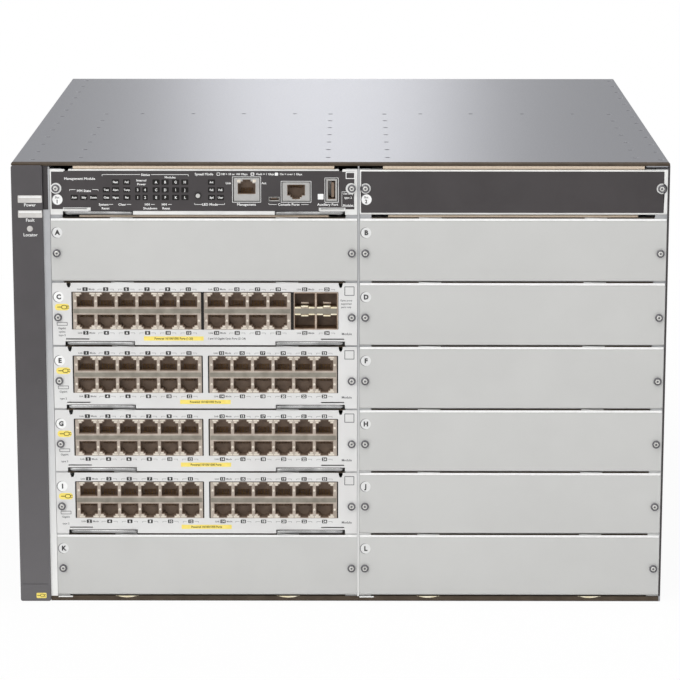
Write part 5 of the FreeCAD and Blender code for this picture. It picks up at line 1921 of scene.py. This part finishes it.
    def _windows(self, shape: Shape, level: float) -> None:
        """Dark windows with a white letter or word, in three rows.

        Args:
            shape: Mesh that takes it.
            level: Plane of the print.
        """
        tops = (294.7, 289.4, 284.2)
        places = [(letter, x, z) for letters, z in zip(("ABGH", "CDIJ", "EFKL"), tops)
                  for letter, x in zip(letters, (-124.4, -118.3, -111.2, -105.0))]
        places += [(word, x, z) for words, z in zip((("", "Flash", "PoE"), ("Test", "Alert", "Temp"),
                                                     ("Chas", "Mgmt", "Fan")), tops)
                   for word, x in zip(words, (-158.1, -151.8, -144.2)) if word]
        places += [("3", -136.9, 289.4), ("4", -131.9, 289.4), ("1", -136.9, 284.2), ("2", -131.9, 284.2)]
        places += [("Actv", -179.8, 284.2), ("Stby", -173.3, 284.2), ("Down", -166.8, 284.2)]
        places += [("Act", -87.0, 294.7), ("Full", -87.0, 289.4), ("PoE", -81.0, 289.4), ("Spd", -87.0, 284.2),
                   ("User", -81.0, 284.2)]
        for word, x, z in places:
            half = 1.75 if word.isdigit() else 2.4
            window = round_rectangle(x - half, x + half, z - 1.8, z + 1.8, 0.4, 3)
            shape.mark(PAINTED_SHADE_AND_BLACK_INK, level, window)
            Lettering.stamp(shape, word, x, z, 1.7 if len(word) < 2 else 1.35, WHITE_INK_AND_HIGHLIGHT, level - 0.02, narrow=0.9,
                            weight=0.025)

    def _headings(self, shape: Shape, level: float) -> None:
        """White words over and under the windows and sockets: word, middle, height of middle, size.

        Args:
            shape: Mesh that takes it.
            level: Plane of the print.
        """
        words = (("Management Module", -176.0, 297.1, 1.6), ("Status", -131.4, 299.8, 1.6),
                 ("Modules", -114.9, 298.0, 1.4), ("Internal", -134.3, 295.9, 1.4), ("Power", -134.3, 293.3, 1.4),
                 ("MM State", -173.2, 288.8, 1.6), ("System", -160.0, 279.4, 1.5), ("Reset", -158.8, 276.8, 1.5),
                 ("Clear", -147.5, 279.4, 1.5), ("MM", -130.5, 279.4, 1.5), ("Shutdown", -128.6, 276.8, 1.5),
                 ("MM", -119.0, 279.4, 1.5), ("Reset", -117.8, 276.8, 1.5), ("Speed Mode", -92.0, 300.2, 1.6),
                 ("Off = 10 or 100 Mbps", -71.7, 300.2, 1.3), ("Flash = 1 Gbps", -50.6, 300.2, 1.3),
                 ("On = over 1 Gbps", -33.3, 300.2, 1.3),
                 ("LED Mode", -88.2, 279.5, 1.6), ("Link", -75.6, 294.1, 1.4), ("Act", -51.6, 294.1, 1.4),
                 ("Management", -63.5, 279.5, 1.6), ("Console Ports", -34.9, 279.5, 1.6),
                 ("Auxiliary Port", -8.6, 279.5, 1.6), ("Use only", 5.2, 287.0, 1.3), ("type 2", 5.2, 284.2, 1.3),
                 ("Modules", 5.2, 279.0, 1.3))
        for word, x, z, height in words:
            Lettering.stamp(shape, word, x, z, height, WHITE_INK_AND_HIGHLIGHT, level, narrow=1.08, weight=0.02)

    def _lines(self, shape: Shape, level: float) -> None:
        """Bracket lines of the groups, each a thin bar: left, right, bottom, top.

        Args:
            shape: Mesh that takes it.
            level: Plane of the print.
        """
        bars = [(-160.9, -135.0, 299.7, 300.0), (-127.6, -102.4, 299.7, 300.0), (-160.9, -160.6, 298.7, 300.0),
                (-102.7, -102.4, 298.7, 300.0), (-183.1, -178.9, 289.4, 289.7), (-183.1, -182.8, 288.6, 289.7),
                (-167.4, -163.4, 289.4, 289.7), (-163.7, -163.4, 288.6, 289.7), (-98.6, -93.0, 279.3, 279.6),
                (-98.6, -98.3, 279.3, 280.4), (-83.2, -78.1, 279.3, 279.6), (-78.4, -78.1, 279.3, 280.4),
                (-48.5, -43.0, 279.3, 279.6), (-48.5, -48.2, 279.3, 280.4), (-26.5, -21.5, 279.3, 279.6),
                (-156.5, -153.6, 279.3, 279.6), (-144.4, -141.5, 279.3, 279.6), (-128.0, -125.5, 279.3, 279.6),
                (-116.5, -114.0, 279.3, 279.6)]
        for x0, x1, z0, z1 in bars:
            shape.mark(WHITE_INK_AND_HIGHLIGHT, level, round_rectangle(x0, x1, z0, z1, 0.05, 1))

    def _frames(self, shape: Shape, level: float, x: float, z: float) -> None:
        """White outlines round the sockets, slits, fields and legend squares.

        Args:
            shape: Mesh that takes it.
            level: Plane of the print.
            x: Where across the sockets are counted from.
            z: Height of the sockets' feet.
        """
        rings = [(x + dx - w / 2 - 0.9, x + dx + w / 2 + 0.9, z - 0.9, z + h + 0.9, 0.3)
                 for dx, w, h in self.sizes[:3]]
        left, right = self.grid.edge(0), self.grid.edge(0) + self.grid.width
        rings += [(left + 9.1, left + 26.1, 274.75, 277.0, 0.25), (right - 25.9, right - 8.9, 274.75, 277.0, 0.25),
                  (0.9, 9.5, 278.0, 288.4, 0.2), (3.6, 9.8, 297.0, 301.6, 0.5), (-83.4, -81.2, 299.2, 301.2, 0.3),
                  (-60.5, -58.1, 299.2, 301.2, 0.5)]
        for x0, x1, z0, z1, line in rings:
            shape.mark(WHITE_INK_AND_HIGHLIGHT, level, round_rectangle(x0, x1, z0, z1, 0.3, 2),
                       round_rectangle(x0 + line, x1 - line, z0 + line, z1 - line, 0.15, 2))
        for x0, x1, z0, z1 in ((-15.3, -11.4, 282.9, 286.7), (-44.2, -42.0, 299.2, 301.2)):
            shape.mark(WHITE_INK_AND_HIGHLIGHT, level, round_rectangle(x0, x1, z0, z1, 0.3, 2))


# ---------------------------------------------------------------- back

@dataclass
class PullHandle:
    """Bent bar handle with rounded edges that stands out of a back panel."""

    width: float
    reach: float
    bar: float
    height: float

    def outline(self) -> Array:
        """Handle seen from above, with its feet at nought: outer side, then inner side.

        Returns:
            Closed outline.
        """
        half, lean, t = self.width / 2, self.reach / 3, self.bar
        return np.array([[-half, 0.0], [-half + lean, self.reach], [half - lean, self.reach], [half, 0.0],
                         [half - t, 0.0], [half - t - lean, self.reach - t], [-half + t + lean, self.reach - t],
                         [-half + t, 0.0]])

    def add(self, shape: Shape, x: float, y: float, z: float, finish: Finish) -> None:
        """Add the handle about (x, z) with its feet at y.

        Args:
            shape: Mesh that takes it.
            x: Middle across.
            y: Place in depth.
            z: Middle height.
            finish: Finish it gets.
        """
        points, faces = plate(rounded_corners(self.outline(), 2.2, 4), [], self.height, 1.4, Facing.UP,
                              self.height / 2, 3, 1.4)
        shape.add((points + np.array([x, y, z]), faces), finish)


def rounded_corners(loop: Array, radius: float, steps: int) -> Array:
    """A loop whose corners are replaced by curves.

    At each corner a curve runs from a point one radius before it to a point one radius after it:
    at share t it is (1-t)^2 of the first, 2t(1-t) of the corner and t^2 of the last.

    Args:
        loop: Outline in two coordinates.
        radius: Radius of the round.
        steps: Steps in each round.

    Returns:
        The longer loop.
    """
    before, after = np.roll(loop, 1, axis=0) - loop, np.roll(loop, -1, axis=0) - loop
    reach = np.minimum(radius, np.minimum(np.linalg.norm(before, axis=1), np.linalg.norm(after, axis=1)) / 2.2)
    first = loop + before / np.linalg.norm(before, axis=1, keepdims=True) * reach[:, None]
    last = loop + after / np.linalg.norm(after, axis=1, keepdims=True) * reach[:, None]
    t = np.linspace(0, 1, steps + 1)[None, :, None]
    curve = (1 - t) ** 2 * first[:, None] + 2 * t * (1 - t) * loop[:, None] + t ** 2 * last[:, None]
    return curve.reshape(-1, 2)


@dataclass
class FanUnit:
    """Three axial fans on a pull-out tray: rounded housings, hubs and twisted blades."""

    size: float = 120.0
    depth: float = 38.0
    bore: float = 57.5
    hub: float = 24.0
    tip: float = 56.2
    blades: int = 5
    chord: float = 33.0
    angle: float = 40.0
    twist: float = 9.0
    bow: float = 4.4
    thickness: float = 1.9

    def build(self) -> None:
        """Housings on the tray's body and a rotor on each fan's body."""
        low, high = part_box("fan_frames")
        y0, y1, z = low.y / MM, high.y / MM, (low.z + high.z) / 2 / MM
        frames = Shape()
        for number in range(1, 4):
            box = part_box(f"fan_rotor_{number}")
            x = (box[0].x + box[1].x) / 2 / MM
            if abs(x) < 0.5:
                x = 0.0
            x = round(x, 2)
            self._housing(frames, x, z, y0, y1)
            self._rotor(number, x, z, box[0].y / MM, box[1].y / MM)
        frames.place("fan_housings", "fan_tray", "fan_black", ("fan_frames",))

    def _housing(self, shape: Shape, x: float, z: float, y0: float, y1: float) -> None:
        """Square housing with a flared bore, four struts, the motor plate and its corner holes.

        Args:
            shape: Mesh that takes it.
            x: Middle across.
            z: Middle height.
            y0: Front end.
            y1: Back end.
        """
        half = self.size / 2
        square = round_rectangle(x - half, x + half, z - half, z + half, 5.0, 5)
        holes = [disc_loop(x, z, self.bore, 72)]
        holes += [disc_loop(x + a * 52.5, z + b * 52.5, 2.1, 16) for a in (-1, 1) for b in (-1, 1)]
        shape.add(plate(square, holes, y1 - y0, 0.6, Facing.BACK, y1, 3, 0.6, 0.6), FAN_BLACK)
        motor = np.array([[0.0, 0.0], [20.0, 0.0], [23.2, 0.5], [24.0, 1.4], [24.0, 2.9], [0.0, 2.9]])
        shape.add(revolved(motor, -x, z, Facing.BACK, y1, 48), FAN_BLACK)
        for dx, dz in ((1, 0), (-1, 0), (0, 1), (0, -1)):
            x0, x1 = sorted((x + dx * 23.0 - abs(dz) * 2.5, x + dx * 58.3 + abs(dz) * 2.5))
            z0, z1 = sorted((z + dz * 23.0 - abs(dx) * 2.5, z + dz * 58.3 + abs(dx) * 2.5))
            shape.box(FAN_BLACK, x0, x1, y1 - 2.9, y1 - 0.05, z0, z1, 0.7, 3)

    def _rotor(self, number: int, x: float, z: float, y0: float, y1: float) -> None:
        """Hub cup with its blades.

        Args:
            number: Number of the fan.
            x: Middle across.
            z: Middle height.
            y0: Front end.
            y1: Back end.
        """
        hub = np.array([[0.0, 0.0], [19.0, 0.0], [22.5, 1.0], [24.0, 3.0], [24.0, y1 - y0], [0.0, y1 - y0]])
        shape = Shape()
        shape.add(revolved(hub, x, z, Facing.FRONT, y0, 64), FAN_BLACK)
        for i in range(self.blades):
            points, faces = self._blade(2 * math.pi * i / self.blades)
            shape.add((points + np.array([x, (y0 + y1) / 2, z]), faces), FAN_BLACK)
        shape.place(f"fan_impeller_{number}", f"fan_rotor_{number}", "fan_black", (f"fan_rotor_{number}",), 50.0)

    def _blade(self, turn: float) -> Block:
        """One blade, a closed grid of sections from the hub to the tip.

        At share s of the way out the section is a bowed strip: across it at share c from -1 to 1 the
        camber is bow (1 - c^2), and its angle falls from angle + twist to angle - twist.

        Args:
            turn: Angle about the hub, in radians.

        Returns:
            Points and faces.
        """
        s = np.linspace(0, 1, 9)[:, None]
        c = np.linspace(-1, 1, 9)
        c = np.concatenate([c, c[::-1][1:-1]])[None, :]
        side = np.concatenate([np.ones(9), -np.ones(7)])[None, :]
        skin = self.thickness / 2 * np.sqrt(np.maximum(1 - c ** 2, 0.04))
        across = self.chord / 2 * c * (1 - 0.08 * np.cos(math.pi * s))
        lift = self.bow * (1 - c ** 2) * (0.7 + 0.3 * s) - self.bow / 2 + side * skin
        pitch = np.radians(self.angle + self.twist * (1 - 2 * s))
        tangent = across * np.cos(pitch) - lift * np.sin(pitch)
        axial = across * np.sin(pitch) + lift * np.cos(pitch)
        reach = 22.5 + (self.tip - 22.5) * s + 0 * c
        out = np.sqrt(np.maximum(reach ** 2 - tangent ** 2, 1.0))
        points = np.stack([tangent * math.cos(turn) + out * math.sin(turn), np.clip(axial, -15.5, 15.5),
                           out * math.cos(turn) - tangent * math.sin(turn)], axis=-1).reshape(-1, 3)
        count = c.shape[1]
        ends = [np.arange(count)[None, :], np.arange(count)[None, ::-1] + 8 * count]
        return outward(points, [ring_faces(9, count)] + ends)


@dataclass
class PowerSupplies:
    """Four closed supplies: rounded case, bar handle, louvred vents and a moulded inlet with pins."""

    wall: float = 16.0
    handle_offset: float = 54.5
    inlet_offset: float = -70.0
    vent_offset: float = -44.0
    vent_pitch: float = 18.0
    vent_width: float = 11.0
    vent_height: float = 36.0
    handle: PullHandle = field(default_factory=lambda: PullHandle(74.0, 22.0, 6.0, 14.0))

    def build(self) -> None:
        """One piece on each supply's body."""
        for number in range(1, 5):
            low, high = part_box(f"psu_{number}")
            shape = Shape()
            self._case(shape, *(v / MM for v in (low.x, high.x, low.y, high.y, low.z, high.z)))
            shape.place(f"psu_{number}_case", f"psu_{number}", "bare_steel", (f"psu_{number}",))

    def _inlet(self, x: float, z: float, shrink: float) -> Array:
        """Inlet outline: a rectangle whose two upper corners are cut off.

        Args:
            x: Middle across.
            z: Middle height.
            shrink: How much smaller than the opening.

        Returns:
            Closed outline.
        """
        w, h, c = 13.5 - shrink, 10.0 - shrink, 4.5
        return np.array([[x - w, z - h], [x + w, z - h], [x + w, z + h - c], [x + w - c, z + h], [x - w + c, z + h],
                         [x - w, z + h - c]])

    def _case(self, shape: Shape, x0: float, x1: float, y0: float, y1: float, z0: float, z1: float) -> None:
        """Back wall with its openings, closed case before it, and the fittings.

        Args:
            shape: Shape that takes the parts.
            x0, x1, y0, y1, z0, z1: Box of the supply; its handle ends at y1.
        """
        x, z, back = (x0 + x1) / 2, (z0 + z1) / 2, y1 - self.handle.reach
        half = self.vent_height / 2
        vents = [x + self.vent_offset + i * self.vent_pitch for i in range(3)]
        holes = [round_rectangle(-v - self.vent_width, -v, z - half, z + half, 1.0, 3) for v in vents]
        inlet = self._inlet(-(x + self.inlet_offset), z, 0.0)
        outline = round_rectangle(-x1, -x0, z0, z1, 0.8, 3)
        shape.add(plate(outline, holes + [inlet], self.wall, 0.5, Facing.BACK, back, 3), BARE_STEEL)
        shape.box(BARE_STEEL, x0, x1, y0, back - self.wall + 0.2, z0, z1, 0.5)
        for v in vents:
            # Dark plate inside each vent: painted shade.
            shape.box(PAINTED_SHADE_AND_BLACK_INK, v - 0.2, v + self.vent_width + 0.2, back - 6.0, back - 5.0, z - half - 0.2,
                      z + half + 0.2, 0.1)
            for i in range(5):
                slat = z - half + 6.0 + i * 6.0
                shape.box(BARE_STEEL, v - 0.2, v + self.vent_width + 0.2, back - 4.6, back - 0.6, slat - 0.6,
                          slat + 0.6, 0.4)
        mould = plate(self._inlet(-(x + self.inlet_offset), z, 0.0), [self._inlet(-(x + self.inlet_offset), z, 1.6)],
                      self.wall - 0.6, 0.0, Facing.BACK, back - 0.4, 1)
        shape.add(mould, FAN_BLACK)
        for dx, dz in ((-7.0, -2.2), (0.0, 2.6), (7.0, -2.2)):
            px = x + self.inlet_offset + dx
            shape.box(CONTACT_GOLD, px - 1.1, px + 1.1, back - self.wall, back - 3.0, z + dz - 2.0, z + dz + 2.0, 0.5)
        self.handle.add(shape, x + self.handle_offset, back, z, BARE_STEEL)


# ---------------------------------------------------------------- stage

@dataclass
class Studio:
    """Pale floor, soft lamps, plain world and the camera."""

    spread: float = 0.55
    floor_radius: float = 9000.0
    floor_drop: float = 0.2
    near_glow: float = 0.93
    glow_reach: tuple[float, float] = (0.35, 1.0)
    lens: float = 156.95
    viewpoint: Place = (0.00922, -2.21206, 0.61669)
    tilt: float = 0.21465
    turn: float = 0.00480
    lamps: tuple[tuple[str, Place, Place, float, float], ...] = (
        ("front_lamp", (-1.2, -2.6, 1.9), (0.0, 0.0, 0.15), 2.4, 35.0),
        ("top_lamp", (0.0, -0.6, 2.6), (0.0, 0.0, 0.2), 1.6, 20.0),
        ("rear_lamp", (-0.04, 2.4, 1.0), (-0.04, 0.0, 0.3), 0.4, 5.8))

    def build(self) -> None:
        """Everything that isn't the object."""
        scene = bpy.context.scene
        scene.view_settings.view_transform = "Standard"
        self._world(scene)
        self._floor(scene)
        self._lamps(scene)
        self._camera(scene)

    def _world(self, scene: bpy.types.Scene) -> None:
        """White to the camera, glossy and transmission rays, softer for the light it gives.

        Args:
            scene: Scene that takes it.
        """
        world = bpy.data.worlds.new("studio_world")
        scene.world = world
        world.use_nodes = True
        tree = world.node_tree
        path = add_node(tree, "LightPath", {}).outputs
        shown = path["Is Camera Ray"]
        for ray in ("Is Glossy Ray", "Is Transmission Ray"):
            shown = add_node(tree, "Math", {0: shown, 1: path[ray]}, operation="MAXIMUM").outputs[0]
        background = tree.nodes["Background"]
        background.inputs["Color"].default_value = (1, 1, 1, 1)
        tree.links.new(carried(tree, shown, self.spread, 1.0, 0.0, 1.0), background.inputs["Strength"])

    def _floor(self, scene: bpy.types.Scene) -> None:
        """Large pale disc that keeps the shadow and meets the white background.

        To the camera it is mostly a plain white glow, more so with distance.

        Args:
            scene: Scene that takes it.
        """
        points, faces = flat_patch(disc_loop(0.0, 0.0, self.floor_radius, 96), [], Facing.UP, -self.floor_drop)
        mesh = bpy.data.meshes.new("studio_floor")
        mesh.from_pydata((points * MM).tolist(), [], faces[0].tolist())
        made = Finish("studio_floor", "#fafafa", "#f6f6f6", patch=1.0, roughness=0.9, grain=60.0, relief=0.0).material()
        tree = made.node_tree
        place = add_node(tree, "TexCoord", {}).outputs["Object"]
        reach = add_node(tree, "VectorMath", {0: place}, operation="LENGTH").outputs["Value"]
        near = carried(tree, reach, self.near_glow, 1.0, *self.glow_reach)
        seen = add_node(tree, "LightPath", {}).outputs["Is Camera Ray"]
        share = add_node(tree, "Math", {0: seen, 1: near}, operation="MULTIPLY").outputs[0]
        glow = add_node(tree, "Emission", {}).outputs[0]
        mixed = add_node(tree, "MixShader", {0: share, 1: tree.nodes["Principled BSDF"].outputs[0], 2: glow})
        tree.links.new(mixed.outputs[0], tree.nodes["Material Output"].inputs["Surface"])
        mesh.materials.append(made)
        piece = bpy.data.objects.new("studio_floor", mesh)
        scene.collection.objects.link(piece)

    def _lamps(self, scene: bpy.types.Scene) -> None:
        """A large soft lamp in front, one above and a low one behind for the sheen of the cover.

        Args:
            scene: Scene that takes it.
        """
        for name, place, target, size, power in self.lamps:
            lamp = bpy.data.lights.new(name, "AREA")
            lamp.size = size
            lamp.energy = power
            holder = bpy.data.objects.new(name, lamp)
            holder.location = place
            direction = Vector(target) - Vector(place)
            holder.rotation_euler = direction.to_track_quat("-Z", "Y").to_euler()
            scene.collection.objects.link(holder)

    def _camera(self, scene: bpy.types.Scene) -> None:
        """Long lens, a little above the unit and looking down on its cover.

        Args:
            scene: Scene that takes it.
        """
        camera = bpy.data.cameras.new("camera")
        camera.lens = self.lens
        camera.sensor_width = 36.0
        camera.clip_start, camera.clip_end = 0.05, 60.0
        holder = bpy.data.objects.new("camera", camera)
        holder.location = self.viewpoint
        holder.rotation_euler = (math.radians(90) - self.tilt, 0.0, self.turn)
        scene.collection.objects.link(holder)
        scene.camera = holder


NODE_FINISHES = {"left_bay_wall": BRIGHT_SHEET, "centre_wall": BRIGHT_SHEET, "mounting_rails": BRIGHT_SHEET}


def dress_frame(frame: dict) -> None:
    """Give every CAD node the finish of its material slot, or its own where it has one.

    Args:
        frame: The loaded frame.
    """
    for part in frame["record"]["subparts"]:
        name = part["node"]
        finish = NODE_FINISHES.get(name, SLOT_FINISHES[part["material_slot"]])
        node = frame["nodes"][name]
        node.data.materials.clear()
        node.data.materials.append(finish.material())
        LOG.info("%s: %s", name, finish.name)


def main() -> None:
    """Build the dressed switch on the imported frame."""
    logging.basicConfig(level=logging.INFO, format="%(message)s")
    for name in ("Cube", "Light", "Camera"):
        old = bpy.data.objects.get(name)
        if old:
            bpy.data.objects.remove(old)
    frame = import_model()
    dress_frame(frame)
    grid = SlotGrid.from_frame()
    for unit in (TopCover, StatusBezel, SlotCovers, CaptiveScrews, Shelves, Levers, PortCards, ManagementModule):
        unit(grid).build()
    FanUnit().build()
    PowerSupplies().build()
    Studio().build()


if __name__ == "__main__":
    main()
